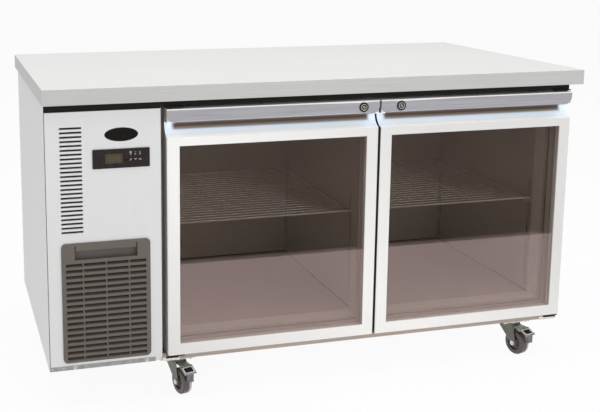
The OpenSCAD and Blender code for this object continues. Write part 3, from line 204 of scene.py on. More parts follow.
# Filter mat: clumps of dark fibre, which swallow the light behind the louvres.
mat_fibre = finish("filter mat fibre", "#3A3431", "#1E1A18", (2, 2, 2), 0.0, (0.85, 0.95), dent=0.3,
                   detail=4.0, IOR=1.45)

# Polycarbonate front of the controller: near black with a sharp gloss.
bezel_pc = finish("glossy polycarbonate bezel", "#2C2523", "#26201E", (12, 12, 12), 0.0, (0.22, 0.3),
                  IOR=1.58, Specular_IOR_Level=0.15)
# Window of the display, which is off: a smoky olive brown.
window_pc = finish("display window", "#544B3B", "#4A4233", (6, 6, 6), 0.0, (0.2, 0.28), IOR=1.58,
                   Specular_IOR_Level=0.15)
# Unlit figures of the display: a shade paler than the window.
segment_pc = finish("unlit display figure", "#6A6250", "#625A49", (2, 2, 2), 0.0, (0.3, 0.4), IOR=1.58,
                    Specular_IOR_Level=0.15)
# Lenses of the lamps, unlit: small grey dots.
lamp_pc = finish("lamp lens", "#A39B93", "#8A827A", (2, 2, 2), 0.0, (0.2, 0.3), IOR=1.58)
# Keys: black rubber without gloss, so that mostly their signs show.
key_rubber = finish("silicone key", "#332C2A", "#2C2523", (2, 2, 2), 0.0, (0.5, 0.6), IOR=1.42,
                    Specular_IOR_Level=0.15)
# Signs on the keys and over the lamps: matt white print.
mark_white = finish("white print", "#E4E0DA", "#CFCAC3", (1, 1, 1), 0.0, (0.5, 0.6), IOR=1.5)
# Face of the badge: the deepest black of the front, with a gloss.
badge_black = finish("black enamel badge", "#15110F", "#100C0B", (8, 8, 8), 0.0, (0.2, 0.28), IOR=1.5,
                     Specular_IOR_Level=0.12)
# Rim of the badge: a thin bright ring.
badge_rim = finish("bright badge rim", "#D8D7D5", "#BFBEBC", (3, 3, 3), 0.8, (0.2, 0.3))

# Zinc plated steel of the castors' forks: grey with a faint yellow cast and a cloudy sheen.
zinc = finish("zinc plated steel", "#7E7E78", "#60605A", (9, 9, 9), 0.6, (0.3, 0.44), blotch=(24, 24, 24))
# Brake pedals: the same plate, a step lighter.
pedal_zinc = finish("zinc plated pedal", "#A6A7A1", "#878881", (9, 9, 9), 0.6, (0.28, 0.4))
# Castor plates, axles and feet of the hinges: fresh plate, nearly white.
bright_zinc = finish("bright zinc plate", "#EDECE8", "#D3D1CB", (9, 9, 9), 0.6, (0.25, 0.36))
# Rim pressed up round a pedal's insert: painted white as a highlight, so it shows as a white line.
rim_highlight = finish("pressed rim with painted highlight", "#FFFFFF", "#F6F6F4", (3, 3, 3), 0.0, (0.25, 0.35), IOR=1.5)
# Ribbed toe of a brake pedal: dark grey that breaks the light into specks.
toe_grey = finish("ribbed pedal toe", "#8A8690", "#4A4650", (3, 3, 3), 0.0, (0.35, 0.5), dent=0.15, IOR=1.5)
# Insert in a brake pedal: black plastic with little gloss.
pedal_black = finish("black pedal insert", "#1D1918", "#141110", (3, 3, 3), 0.0, (0.45, 0.6), dent=0.05,
                     IOR=1.5, Specular_IOR_Level=0.2)
# Wheel hubs: dull grey nylon.
hub_nylon = finish("nylon wheel hub", "#6F6965", "#5C5652", (6, 6, 6), 0.0, (0.4, 0.5), IOR=1.53)

# Base rail: galvanised steel, a duller grey than the panel over it.
rail_zinc = finish("galvanised rail", "#A9AAAA", "#8E8F90", (14, 14, 10), 0.5, (0.35, 0.48))
# End cap of the base rail: pale warm nylon.
cap_nylon = finish("pale nylon cap", "#F2E9E1", "#EAE0D7", (6, 6, 6), 0.0, (0.4, 0.5), IOR=1.53)
# Screws: bright nickel, so that each shows as a pale dot.
screw_nickel = finish("nickel plated screw", "#E2E0DC", "#C9C7C2", (3, 3, 3), 0.8, (0.2, 0.3))

# Tray of the machine set: galvanised sheet with soft patches like the crystals of zinc.
tray_zinc = finish("galvanised sheet", "#B9BBBD", "#989A9D", (16, 16, 16), 0.6, (0.35, 0.5), detail=0.0)
# Compressor: black enamel with a wide gloss.
compressor_enamel = finish("black enamel", "#1B1B1D", "#101012", (20, 20, 20), 0.0, (0.18, 0.28), IOR=1.5)
# Fins of the condenser and the evaporator: bright aluminium in fine upright lines.
fin_aluminium = finish("aluminium fins", "#C6C9CB", "#A9ADB0", (2, 2, 12), 0.8, (0.3, 0.42))
# Fan shroud and motors: dark grey paint, half matt.
shroud_paint = finish("dark painted sheet", "#4A4A4C", "#3C3C3E", (10, 10, 10), 0.0, (0.4, 0.5), IOR=1.5)
motor_paint = finish("motor enamel", "#38383A", "#29292B", (10, 10, 10), 0.0, (0.35, 0.45), IOR=1.5)
# Refrigerant lines: bright copper with browner patches.
copper = finish("drawn copper tube", "#C98A66", "#A8694A", (10, 10, 10), 0.95, (0.22, 0.36))
# Fans and the gland of the supply cord: black plastic, half matt.
fan_plastic = finish("moulded fan plastic", "#26231F", "#191715", (5, 5, 5), 0.0, (0.4, 0.5), IOR=1.5)
gland_nylon = finish("black nylon gland", "#201D1C", "#161413", (3, 3, 3), 0.0, (0.4, 0.5), IOR=1.53)
# Foam in the walls: cream and chalky, with small pits.
foam_cream = finish("rigid foam", "#E3D7AE", "#D3C69A", (3, 3, 3), 0.0, (0.8, 0.9), dent=0.2, IOR=1.4)
# Board in the worktop: tan, with flecks as of pressed chips.
core_board = finish("pressed board", "#C6A57B", "#A8875F", (4, 4, 2), 0.0, (0.7, 0.85), detail=4.0, IOR=1.45)


def bronze_glass():
    """Float glass toned bronze, with a reflecting coat, in two panes: the dim inside shows through it brown,
    and the studio floor mirrors in it pink. Lamps reach the bays through it, because shadow rays meet only
    its tint."""
    made, tree, shader = new_material("bronze float glass")
    smear = speckle(tree, (90, 90, 140), 3.0)
    tint = put(tree, "Mix", {0: smear, 6: linear("#E6E0DC"), 7: linear("#E1DBD7")}, data_type="RGBA")
    tree.links.new(tint.outputs[2], shader.inputs["Base Color"])
    shader.inputs["Roughness"].default_value = 0.0
    # More than plain glass has, for the reflecting coat.
    shader.inputs["IOR"].default_value = 1.8
    shader.inputs["Transmission Weight"].default_value = 1.0
    shader.inputs["Specular Tint"].default_value = linear("#FFE2E4")
    path = put(tree, "LightPath")
    clear = put(tree, "BsdfTransparent", {"Color": linear("#F2EDEA")})
    both = put(tree, "MixShader", {0: path.outputs["Is Shadow Ray"], 1: shader.outputs["BSDF"],
                                   2: clear.outputs["BSDF"]})
    tree.links.new(both.outputs["Shader"], tree.nodes["Material Output"].inputs["Surface"])
    return made


door_glass = bronze_glass()


def door_metal():
    """Anodised aluminium of the doors' fronts, brushed upright: nearly white and matt, with a painted sheen, a
    lighter band that lies across both doors, from the upper left corner of the left one to the foot of the right
    one, and duller colour away from it."""
    made = finish("anodised aluminium door", "#FDFCFA", "#F8F7F5", (4, 4, 200), 0.25, (0.38, 0.48),
                  blotch=(260, 260, 260))
    left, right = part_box("left_door_frame"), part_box("right_door_frame")
    # The painted sheen's middle line, and how far from it the painted sheen is full and ends.
    start = Vector((left[0].x, 0, left[1].z - 90 * MM))
    run = (Vector((right[0].x + 70 * MM, 0, right[0].z + 13 * MM)) - start).normalized()
    core, end = 50 * MM, 480 * MM
    tree = made.node_tree
    place = put(tree, "TexCoord").outputs["Object"]
    place = put(tree, "VectorMath", {0: place, 1: start}, operation="SUBTRACT").outputs["Vector"]
    aside = put(tree, "VectorMath", {0: place, 1: (-run.z, 0, run.x)}, operation="DOT_PRODUCT")
    aside = put(tree, "Math", {0: aside.outputs["Value"]}, operation="ABSOLUTE")
    share = put(tree, "MapRange", {"Value": aside.outputs[0], "From Min": core, "From Max": end})
    recolour(made, share.outputs["Result"], "#E4E3E1")
    return made


door_white = door_metal()


def scoop_metal(side):
    """Anodised aluminium of a door's finger scoop, with painted light: a painted blue-white reflection at its lip
    and painted brown shade in its deep, where the strip above keeps the light out. The painted shade ends where
    the strip's round corners leave the scoop open."""
    lo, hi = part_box(side + "_door_handle")
    made = finish(side + " door scoop", "#FFFFFF", "#F8F9FA", (200, 4, 4), 0.0, (0.34, 0.44))
    tree = made.node_tree
    shader = tree.nodes["Principled BSDF"]
    grain = shader.inputs["Base Color"].links[0].from_socket
    place = put(tree, "SeparateXYZ", {0: put(tree, "TexCoord").outputs["Object"]})
    # How far up the scoop a place is, from 40 mm under the strip's lower edge to that edge.
    depth = put(tree, "MapRange", {"Value": place.outputs["Z"], "From Min": lo.z - 40 * MM,
                                   "From Max": lo.z}).outputs["Result"]
    shade = put(tree, "ValToRGB", {0: depth})
    stops = ((0.24, "#FFFFFF"), (0.34, "#F4FAFF"), (0.42, "#E2EEF8"), (0.50, "#B0A49C"), (0.60, "#86766C"),
             (0.70, "#554032"), (0.88, "#8B7768"))
    ramp = shade.color_ramp.elements
    while len(ramp) < len(stops):
        ramp.new(0.5)
    for stop, (at, code) in zip(ramp, stops):
        stop.position = at
        stop.color = linear(code)
    # Towards the strip's ends the painted shade fades out into a painted blue-white reflection, where the round
    # lower corners leave the scoop open.
    from_middle = put(tree, "Math", {0: place.outputs["X"], 1: (lo.x + hi.x) / 2}, operation="SUBTRACT")
    from_middle = put(tree, "Math", {0: from_middle.outputs[0]}, operation="ABSOLUTE")
    half = (hi.x - lo.x) / 2
    covered = put(tree, "MapRange", {"Value": from_middle.outputs[0], "From Min": half - 16 * MM,
                                     "From Max": half - 26 * MM}).outputs["Result"]
    tone = put(tree, "Mix", {0: covered, 6: linear("#EEF3F8"), 7: shade.outputs["Color"]}, data_type="RGBA")
    # Above the strip's lower edge the frame is painted grey beside the strip's round corners: painted shade.
    above = put(tree, "MapRange", {"Value": place.outputs["Z"], "From Min": lo.z + 1 * MM,
                                   "From Max": lo.z + 4 * MM}).outputs["Result"]
    tone = put(tree, "Mix", {0: above, 6: tone.outputs[2], 7: linear("#D2D4D4")}, data_type="RGBA")
    both = put(tree, "Mix", {0: 1.0, 6: grain, 7: tone.outputs[2]}, data_type="RGBA", blend_type="MULTIPLY")
    tree.links.new(both.outputs[2], shader.inputs["Base Color"])
    # A weak glow on the lip stands in for bright surroundings that the scoop would throw back and that this
    # studio doesn't have.
    lip = put(tree, "MapRange", {"Value": depth, "From Min": 0.52, "From Max": 0.40})
    bare = put(tree, "Math", {0: 1.0, 1: covered}, operation="SUBTRACT")
    lit = put(tree, "Math", {0: lip.outputs["Result"], 1: bare.outputs[0]}, operation="MAXIMUM")
    lit = put(tree, "Math", {0: lit.outputs[0], 1: above}, operation="SUBTRACT", use_clamp=True)
    blue = put(tree, "MapRange", {"Value": depth, "From Min": 0.14, "From Max": 0.30})
    tint = put(tree, "Mix", {0: blue.outputs["Result"], 6: linear("#B4B9BC"), 7: linear("#CFE6FF")},
               data_type="RGBA")
    glow = put(tree, "Mix", {0: lit.outputs[0], 6: (0, 0, 0, 1), 7: tint.outputs[2]}, data_type="RGBA")
    tree.links.new(glow.outputs[2], shader.inputs["Emission Color"])
    shader.inputs["Emission Strength"].default_value = 0.32
    return made


def painted_edge_highlight():
    """The handles' aluminium with a painted highlight along its top edge, as a pale line 3 mm high along the
    strip.
    """
    tree = handle_grey.node_tree
    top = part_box("left_door_handle")[1].z
    place = put(tree, "SeparateXYZ", {0: put(tree, "TexCoord").outputs["Object"]})
    edge = put(tree, "MapRange", {"Value": place.outputs["Z"], "From Min": top - 3.4 * MM,
                                  "From Max": top - 2.8 * MM})
    recolour(handle_grey, edge.outputs["Result"], "#F6F6F6")


painted_edge_highlight()


# Tools for shaping and dressing pieces

def stand(name, data):
    """Puts a mesh, a lamp or a camera in the scene."""
    thing = bpy.data.objects.new(name, data)
    bpy.context.scene.collection.objects.link(thing)
    return thing


def add_piece(name, mesh, body):
    """Puts a mesh in the scene as a piece that moves with a body."""
    piece = stand(name, mesh)
    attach(piece, body)
    return piece


def mesh_from(work, name, materials):
    """The mesh of a worked shape, with its materials. The working copy is given up."""
    mesh = bpy.data.meshes.new(name)
    work.to_mesh(mesh)
    work.free()
    for material in materials:
        mesh.materials.append(material)
    return mesh


def loose_parts(work):
    """The separate solids of a mesh as lists of faces, the largest first."""
    parts, seen = [], set()
    for first in work.faces:
        if first.index in seen:
            continue
        seen.add(first.index)
        part, waiting = [], [first]
        while waiting:
            face = waiting.pop()
            part.append(face)
            for edge in face.edges:
                for beside in edge.link_faces:
                    if beside.index not in seen:
                        seen.add(beside.index)
                        waiting.append(beside)
        parts.append(part)
    return sorted(parts, key=lambda part: -sum(face.calc_area() for face in part))


def plain_faces(node, whole=True):
    """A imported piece's mesh to work on, with its doubled points joined and, if asked, flat faces whole."""
    work = bmesh.new()
    work.from_mesh(frame["nodes"][node].data)
    bmesh.ops.remove_doubles(work, verts=work.verts, dist=0.002 * MM)
    if whole:
        bmesh.ops.dissolve_limit(work, angle_limit=math.radians(0.5), verts=work.verts, edges=work.edges)
    work.faces.index_update()
    return work


def ease_edges(work, edges, ease):
    """Rounds edges off by some millimetres."""
    bmesh.ops.bevel(work, geom=edges, offset=ease * MM, offset_type="OFFSET", segments=2, profile=0.5,
                    affect="EDGES", clamp_overlap=True)


def redress(node, materials, pick, ease=0.0, whole=True):
    """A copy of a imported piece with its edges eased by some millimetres, and each face given the one of its
    materials that pick names from the face and the number of its solid. It stands in for that piece."""
    work = plain_faces(node, whole)
    if ease:
        sharp = math.radians(50)
        edges = [e for e in work.edges if len(e.link_faces) == 2 and e.calc_face_angle(0) > sharp]
        ease_edges(work, edges, ease)
    bmesh.ops.triangulate(work, faces=[f for f in work.faces if len(f.verts) > 4], ngon_method="EAR_CLIP")
    work.faces.index_update()
    for number, part in enumerate(loose_parts(work)):
        for face in part:
            face.smooth = True
            face.material_index = materials.index(pick(face, number))
    mesh = mesh_from(work, node + "_dressed", materials)
    mesh.set_sharp_from_angle(angle=math.radians(30))
    piece = add_piece(node + "_dressed", mesh, BODY[node])
    piece.modifiers.new("flat faces shade flat", "WEIGHTED_NORMAL").keep_sharp = True
    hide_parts(node)


def turned_plate(name, middle, width, height, profile, materials, body):
    """A round or oval plate on a face that looks to the front. Its profile runs from the rim inwards: how
    far in, how high, both in millimetres, and the number of the material of the band that follows."""
    count = 72
    turns = [2 * math.pi * i / count for i in range(count)]
    work = bmesh.new()
    rows = []
    for inset, rise, _ in profile:
        rows.append([work.verts.new((middle.x + (width / 2 - inset) * MM * math.cos(a), middle.y - rise * MM,
                                     middle.z + (height / 2 - inset) * MM * math.sin(a))) for a in turns])
    for band in range(len(rows) - 1):
        for i in range(count):
            j = (i + 1) % count
            face = work.faces.new((rows[band][i], rows[band + 1][i], rows[band + 1][j], rows[band][j]))
            face.material_index = profile[band][2]
            face.smooth = True
    work.faces.new(rows[-1]).material_index = profile[-1][2]
    work.faces.new(rows[0][::-1]).material_index = 0
    bmesh.ops.recalc_face_normals(work, faces=work.faces)
    mesh = mesh_from(work, name, materials)
    mesh.set_sharp_from_angle(angle=math.radians(40))
    add_piece(name, mesh, body)


def printed(name, strokes, width, middle, body, material, way=-1):
    """Thin print, or a dark line of painted shade for a cut, on a face that looks to the front, or to the back
    with way 1. Strokes are lists of points in millimetres, to the right and up from the middle."""
    lift = 0.12 * MM
    origin = middle + Vector((0, way * lift, 0))
    work = bmesh.new()
    for stroke in strokes:
        for a, b in zip(stroke, stroke[1:]):
            start, end = Vector((a[0], 0, a[1])), Vector((b[0], 0, b[1]))
            run = (end - start).normalized() * (width / 2)
            side = Vector((-run.z, 0, run.x))
            corners = [start - run - side, end + run - side, end + run + side, start - run + side]
            work.faces.new([work.verts.new(origin + corner * MM) for corner in corners[::-way]])
    add_piece(name, mesh_from(work, name, [material]), body)


def flat_plate(name, lo, hi, material, body, ease=0.3):
    """A thin plate between two corners, with its edges eased by some millimetres."""
    work = bmesh.new()
    block = Matrix.Translation((lo + hi) / 2) @ Matrix.Diagonal((*(hi - lo), 1.0))
    bmesh.ops.create_cube(work, size=1.0, matrix=block)
    ease_edges(work, work.edges[:], ease)
    add_piece(name, mesh_from(work, name, [material]), body)


def ring(radius, start=0, end=360):
    """Points of a round stroke between two angles."""
    count = max(6, int(abs(end - start) / 20))
    turns = [math.radians(start + (end - start) * i / count) for i in range(count + 1)]
    return [(radius * math.cos(a), radius * math.sin(a)) for a in turns]


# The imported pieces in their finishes, and the small pieces of the scene alone

# The pieces that have one finish all over and no eased edges.
PLAIN = {
    "cabinet_shell": shell_steel, "insulation_foam": foam_cream, "inner_liner": liner_steel,
    "worktop_core": core_board, "top_strip": foam_black, "base_rail": rail_zinc,
    "machine_side_panel": side_steel, "machine_back_panel": shell_steel, "machine_front_panel": panel_steel,
    "machine_tray": tray_zinc, "compressor": compressor_enamel, "condenser": fin_aluminium,
    "fan_shroud": shroud_paint, "fan_motors": motor_paint, "evaporator": fin_aluminium,
    "evaporator_cover": liner_steel, "refrigerant_lines": copper, "shelf_supports": upright_steel,
    "cable_gland": gland_nylon, "panel_screws": screw_nickel, "castor_plates": bright_zinc,
    "condenser_fan": fan_plastic, "evaporator_fan": fan_plastic, "filter_mat": mat_fibre,
}
for key in ("power_key", "set_key", "down_key", "up_key"):
    PLAIN[key] = key_rubber
for side in ("left", "right"):
    PLAIN[side + "_door_glass"] = door_glass
    PLAIN[side + "_door_spacer"] = spacer_bar
    PLAIN[side + "_door_gasket"] = gasket_pvc
    PLAIN[side + "_lock_barrel"] = lock_nickel
    PLAIN[side + "_lock_cam"] = lock_nickel
for node, material in PLAIN.items():
    for slot in frame["nodes"][node].material_slots:
        slot.material = material


def door_face(side):
    """A door frame with its finishes: white front with a painted sheen, scoop with painted reflection and shade,
    grey edges with painted shade and off-white inner face.
    """
    lo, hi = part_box(side + "_door_frame")
    hinged, meeting = (lo.x, hi.x) if side == "left" else (hi.x, lo.x)
    scoop = scoop_metal(side)
    scoop_foot = hi.z - 75 * MM

    def pick(face, part):
        middle = face.calc_center_median()
        if abs(middle.x - hinged) < MM and abs(face.normal.x) > FACING:
            return flank_pvc
        # The edge where the doors meet is dark with painted shade, with its eased corners, which look only partly
        # sideways.
        if abs(middle.x - meeting) < MM and abs(face.normal.x) > 0.2:
            return meeting_pvc_shade
        if face.normal.y > FACING and middle.y > hi.y - MM:
            return inner_abs
        if middle.z > scoop_foot and middle.y > lo.y + 0.5 * MM:
            return scoop
        return door_white

    redress(side + "_door_frame", [door_white, scoop, flank_pvc, inner_abs, meeting_pvc_shade], pick, 0.6)


def door_handle(side):
    """A handle with its finishes: grey strip, top edge with a painted highlight, underside brown with painted
    shade and black lock bezel.
    """
    lo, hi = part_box(side + "_door_handle")
    lock = PIVOT[side + "_lock"][0]
    bezel_reach, bezel_back = 14 * MM, lo.y + 2.2 * MM
    edge_foot = hi.z - 3.2 * MM
    bead_top, bead_front = lo.z + 4.5 * MM, lo.y + 2.6 * MM

    def pick(face, part):
        far = max(math.hypot(v.co.x - lock.x, v.co.z - lock.z) for v in face.verts)
        middle = face.calc_center_median()
        if far < bezel_reach and middle.y < bezel_back:
            return black_and_recess_shade
        if middle.z > edge_foot:
            return handle_edge_highlight
        if middle.z < bead_top and (face.normal.z < -0.3 or middle.y > bead_front):
            return handle_shade
        return handle_grey

    redress(side + "_door_handle", [handle_grey, handle_edge_highlight, black_and_recess_shade, handle_shade], pick, 0.5, False)


def lock_front(side):
    """The turned face of a lock's barrel, with its slot drawn as a black line of painted shade."""
    pivot = PIVOT[side + "_lock"][0]
    face = Vector((pivot.x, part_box(side + "_lock_barrel")[0].y, pivot.z))
    profile = [(0, 0, 0), (0.3, 0.35, 0), (1.9, 0.35, 1), (2.2, 0.1, 1), (5.2, 0.1, 0), (5.5, 0.4, 0)]
    across = 17.6
    body, slot = side + "_lock", SLOT[side + "_lock_barrel"]
    turned_plate(side + "_lock_face", face, across, across, profile, [lock_nickel, black_and_recess_shade], body)
    proud = face - Vector((0, 0.4 * MM, 0))
    printed(side + "_lock_slot", [[(-1.6, -1.6), (1.6, 1.6)]], 1.1, proud, body, black_and_recess_shade)


for side in ("left", "right"):
    door_face(side)
    door_handle(side)
    lock_front(side)


def tyre_rubber(corner):
    """Rubber of a castor's tyre: brown grey and matt, with a painted highlight, pale and bluish, on one half of
    its tread.
    """
    made = finish(corner + " rubber tyre", "#6A5F5C", "#4C4341", (5, 5, 5), 0.0, (0.24, 0.38), dent=0.04,
                  blotch=(18, 18, 18), IOR=1.5)
    hub, axle = PIVOT[corner + "_wheel"]
    work = plain_faces(corner + "_wheel")
    tyre = loose_parts(work)[0]
    reach = max((v.co - hub).dot(axle) for face in tyre for v in face.verts)
    work.free()
    tree = made.node_tree
    place = put(tree, "TexCoord").outputs["Object"]
    place = put(tree, "VectorMath", {0: place, 1: hub}, operation="SUBTRACT").outputs["Vector"]
    along = put(tree, "VectorMath", {0: place, 1: axle}, operation="DOT_PRODUCT").outputs["Value"]
    painted_highlight = put(tree, "MapRange", {"Value": along, "From Min": 2 * MM, "From Max": 6 * MM})
    # The painted highlight stops short of the tyre's flat side.
    flat = put(tree, "MapRange", {"Value": along, "From Min": reach - 0.6 * MM,
                                  "From Max": reach - 0.1 * MM})
    painted_highlight = put(tree, "Math", {0: painted_highlight.outputs["Result"], 1: flat.outputs["Result"]}, operation="SUBTRACT",
               use_clamp=True)
    recolour(made, painted_highlight.outputs[0], "#BABAC8")
    return made


def pedal_rim(corner):
    """The rim round the insert of a brake pedal, pressed up from the pedal's plate and painted white as a
    highlight.
    """
    node = corner + "_brake"
    wide, proud, beside = 3 * MM, 0.15 * MM, 25 * MM
    work = plain_faces(node)
    plate, insert = loose_parts(work)[:2]
    # The insert's upper face, and how far the plate beside it stands above it.
    top = max((face for face in insert if face.normal.z > 0.2), key=lambda face: face.calc_area())
    middle = top.calc_center_median()
    away = [face.calc_center_median() - middle for face in plate if face.normal.dot(top.normal) > 0.99]
    rise = max(step.dot(top.normal) for step in away if step.length < beside)
    lift = top.normal * (max(rise, 0) + proud)
    rim = bmesh.new()
    inner = [rim.verts.new(v.co + lift) for v in top.verts]
    outer = [rim.verts.new(v.co + (v.co - middle).normalized() * wide + lift) for v in top.verts]
    work.free()
    for i in range(len(inner)):
        j = (i + 1) % len(inner)
        rim.faces.new((inner[i], outer[i], outer[j], inner[j]))
    add_piece(node + "_rim", mesh_from(rim, node + "_rim", [rim_highlight]), BODY[node])


# A castor wheel is a tyre on a hub, a fork holds an axle, and a brake pedal is a plate with a black insert:
# the larger solid is number 0.
for corner in ("front_left", "front_right", "rear_left", "rear_right"):
    tyre = tyre_rubber(corner)
    redress(corner + "_wheel", [tyre, hub_nylon], lambda face, part: hub_nylon if part else tyre)
    redress(corner + "_fork", [zinc, bright_zinc], lambda face, part: bright_zinc if part else zinc, 0.4)
for corner in ("front_left", "front_right"):
    toe_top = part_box(corner + "_brake")[0].z + 20 * MM

    def pedal_pick(face, part):
        if part:
            return pedal_black
        return toe_grey if face.calc_center_median().z < toe_top else pedal_zinc

    redress(corner + "_brake", [pedal_zinc, pedal_black, toe_grey], pedal_pick, 0.3)
    pedal_rim(corner)
for node in ("left_shelf", "right_shelf"):
    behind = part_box(node)[0].y + 7 * MM

    def wire_pick(face, part):
        return front_wire_highlight if face.calc_center_median().y < behind else shelf_wire

    redress(node, [shelf_wire, front_wire_highlight], wire_pick, 0.0, False)


def worktop_pick(face, part):
    """A worktop's finish by where the face looks: its top, and in painted shade its front and back edges and,
    darker, its ends.
    """
    if face.normal.z > 0.5:
        return worktop_steel
    return worktop_end_shade if abs(face.normal.x) > 0.5 else worktop_edge_shade


sill_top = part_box("left_door_frame")[0].z + 2 * MM
redress("display_and_lamps", [window_pc, lamp_pc], lambda face, part: lamp_pc if part else window_pc)
redress("worktop", [worktop_steel, worktop_edge_shade, worktop_end_shade], worktop_pick, 1.2)
redress("front_frame", [liner_steel, sill_steel],
        lambda face, part: sill_steel if face.calc_center_median().z < sill_top else liner_steel)
redress("hinge_brackets", [hinge_black], lambda face, part: hinge_black, 0.3)


def hinge_trim():
    """The bright foot of each lower hinge, which hangs from its arm under the door's corner, and a black strip
    along the arm's front: painted shade of the gap under the door's corner."""
    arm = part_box("hinge_brackets")[0]
    left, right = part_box("left_door_frame")[0].x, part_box("right_door_frame")[1].x
    thick = 1.2
    # Millimetres from the door's outer edge, from the arm's front and from the arm's underside.
    for name, edge, start, end, front, foot, top, material in (
        ("left_hinge_foot", left, -14, 32, 0, -9.5, 0, bright_zinc),
        ("left_hinge_shade_strip", left, -5, 30, -1.2, -3, 2, hinge_black),
        ("right_hinge_foot", right, -60, -10, 0, -9.5, 0, bright_zinc),
        ("right_hinge_shade_strip", right, -46, -8, -1.2, -3, 2, hinge_black),
    ):
        near = Vector((edge + start * MM, arm.y + front * MM, arm.z + foot * MM))
        far = Vector((edge + end * MM, arm.y + (front + thick) * MM, arm.z + top * MM))
        flat_plate(name, near, far, material, "cabinet")


hinge_trim()
redress("controller", [bezel_pc], lambda face, part: bezel_pc, 0.6)
redress("filter_grille", [grille_abs], lambda face, part: grille_abs, 0.5)

# The oval badge on the front panel: its size, and its middle's place from the panel's left edge and top, in
# millimetres.
panel_lo, panel_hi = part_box("machine_front_panel")
BADGE_WIDTH, BADGE_HEIGHT = 86, 36
BADGE_ACROSS, BADGE_DOWN = 190, 61
BADGE_PROFILE = [(0, 0, 0), (0.2, 0.5, 0), (0.5, 0.7, 1), (1.2, 0.7, 1), (4, 0.9, 1), (9, 1.1, 1),
                 (16, 1.2, 1)]
badge = Vector((panel_lo.x + BADGE_ACROSS * MM, panel_lo.y, panel_hi.z - BADGE_DOWN * MM))
turned_plate("blank_badge", badge, BADGE_WIDTH, BADGE_HEIGHT, BADGE_PROFILE, [badge_rim, badge_black],
             "cabinet")


def slot_shade_strips():
    """Dark strips of painted shade on the front panel just under the slots, along the slots' lower faces."""
    longest, deepest = 90 * MM, panel_lo.y + 3 * MM
    lowest, highest = panel_lo.z + 300 * MM, panel_hi.z - 20 * MM
    wide = 1.2
    work = plain_faces("machine_front_panel")
    shade_strips = []
    for face in work.faces:
        middle = face.calc_center_median()
        start, end = min(v.co.x for v in face.verts), max(v.co.x for v in face.verts)
        if (face.normal.z > FACING and middle.y < deepest and end - start < longest
                and lowest < middle.z < highest):
            height = (middle.z - panel_lo.z) / MM - wide / 2
            shade_strips.append([((start - panel_lo.x) / MM, height), ((end - panel_lo.x) / MM, height)])
    work.free()
    printed("slot_shade_strips", shade_strips, wide, panel_lo, "cabinet", slot_shade)


def rail_cap():
    """The cap on the right end of the base rail, as far as the panel's edge."""
    lo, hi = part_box("base_rail")
    gap, front, back = 0.3 * MM, 2 * MM, 4 * MM
    near = Vector((hi.x + gap, lo.y + front, lo.z))
    far = Vector((panel_hi.x, lo.y + back, hi.z))
    flat_plate("rail_end_cap", near, far, cap_nylon, "cabinet")


def bay_trim():
    """The breaker strips in the mouth of each bay, and thin dark beads of painted shade in the corners of its
    floor.
    """
    skin, bead, deep, thin = 1 * MM, 3 * MM, 45 * MM, 0.8 * MM
    work = plain_faces("inner_liner")
    bays = sorted(loose_parts(work), key=lambda part: min(v.co.x for face in part for v in face.verts))
    for name, part in zip(("left_bay_", "right_bay_"), bays):
        points = [v.co for face in part for v in face.verts]
        lo = Vector([min(p[i] for p in points) + skin for i in range(3)])
        hi = Vector([max(p[i] for p in points) - skin for i in range(3)])
        back = lo.y + deep
        for side, near, far in (("left", lo, Vector((lo.x + thin, back, hi.z))),
                                ("right", Vector((hi.x - thin, lo.y, lo.z)), Vector((hi.x, back, hi.z))),
                                ("lower", lo, Vector((hi.x, back, lo.z + thin))),
                                ("upper", Vector((lo.x, lo.y, hi.z - thin)), Vector((hi.x, back, hi.z)))):
            flat_plate(name + side + "_strip", near, far, breaker_pvc, "cabinet", 0.2)
        top = lo.z + bead
        for side, near, far in (("left", Vector((lo.x, back, lo.z)), Vector((lo.x + bead, hi.y, top))),
                                ("right", Vector((hi.x - bead, back, lo.z)), Vector((hi.x, hi.y, top))),
                                ("rear", Vector((lo.x + bead, hi.y - bead, lo.z)),
                                 Vector((hi.x - bead, hi.y, top)))):
            flat_plate(name + side + "_bead", near, far, corner_shade, "cabinet", 1.0)
    work.free()


slot_shade_strips()
rail_cap()
bay_trim()

# The signs on the keys and over the lamps, and one figure of the display, as strokes in millimetres.
KEY_SIGNS = {
    "power_key": [ring(1.5), ring(0.5)],
    "set_key": [[(-2.1, -2.1), (2.1, 2.1)], ring(1.5, 100, 280)],
    "down_key": [[(-2.3, 1.6), (0, -1.6), (2.3, 1.6)]],
    "up_key": [[(-2.3, -1.6), (0, 1.6), (2.3, -1.6)]],
}
LAMP_SIGNS = {
    "cooling": [[(2.2 * math.cos(a), 2.2 * math.sin(a)), (-2.2 * math.cos(a), -2.2 * math.sin(a))]
                for a in (math.pi / 2, math.pi / 6, -math.pi / 6)],
    "defrost": [ring(1.8), [(0, -1.8), (0, 1.8)]],
    "fan": [ring(1.4, -60, 60), ring(1.4, 60, 180), [(0, 0), (0, -2.1)]],
}
FIGURE = [[(-2.4, 4.6), (2.4, 4.6)], [(-2.4, 0), (2.4, 0)], [(-2.4, -4.6), (2.4, -4.6)],
          [(-3, 4), (-3, 0.6)], [(3, 4), (3, 0.6)], [(-3, -0.6), (-3, -4)], [(3, -0.6), (3, -4)]]


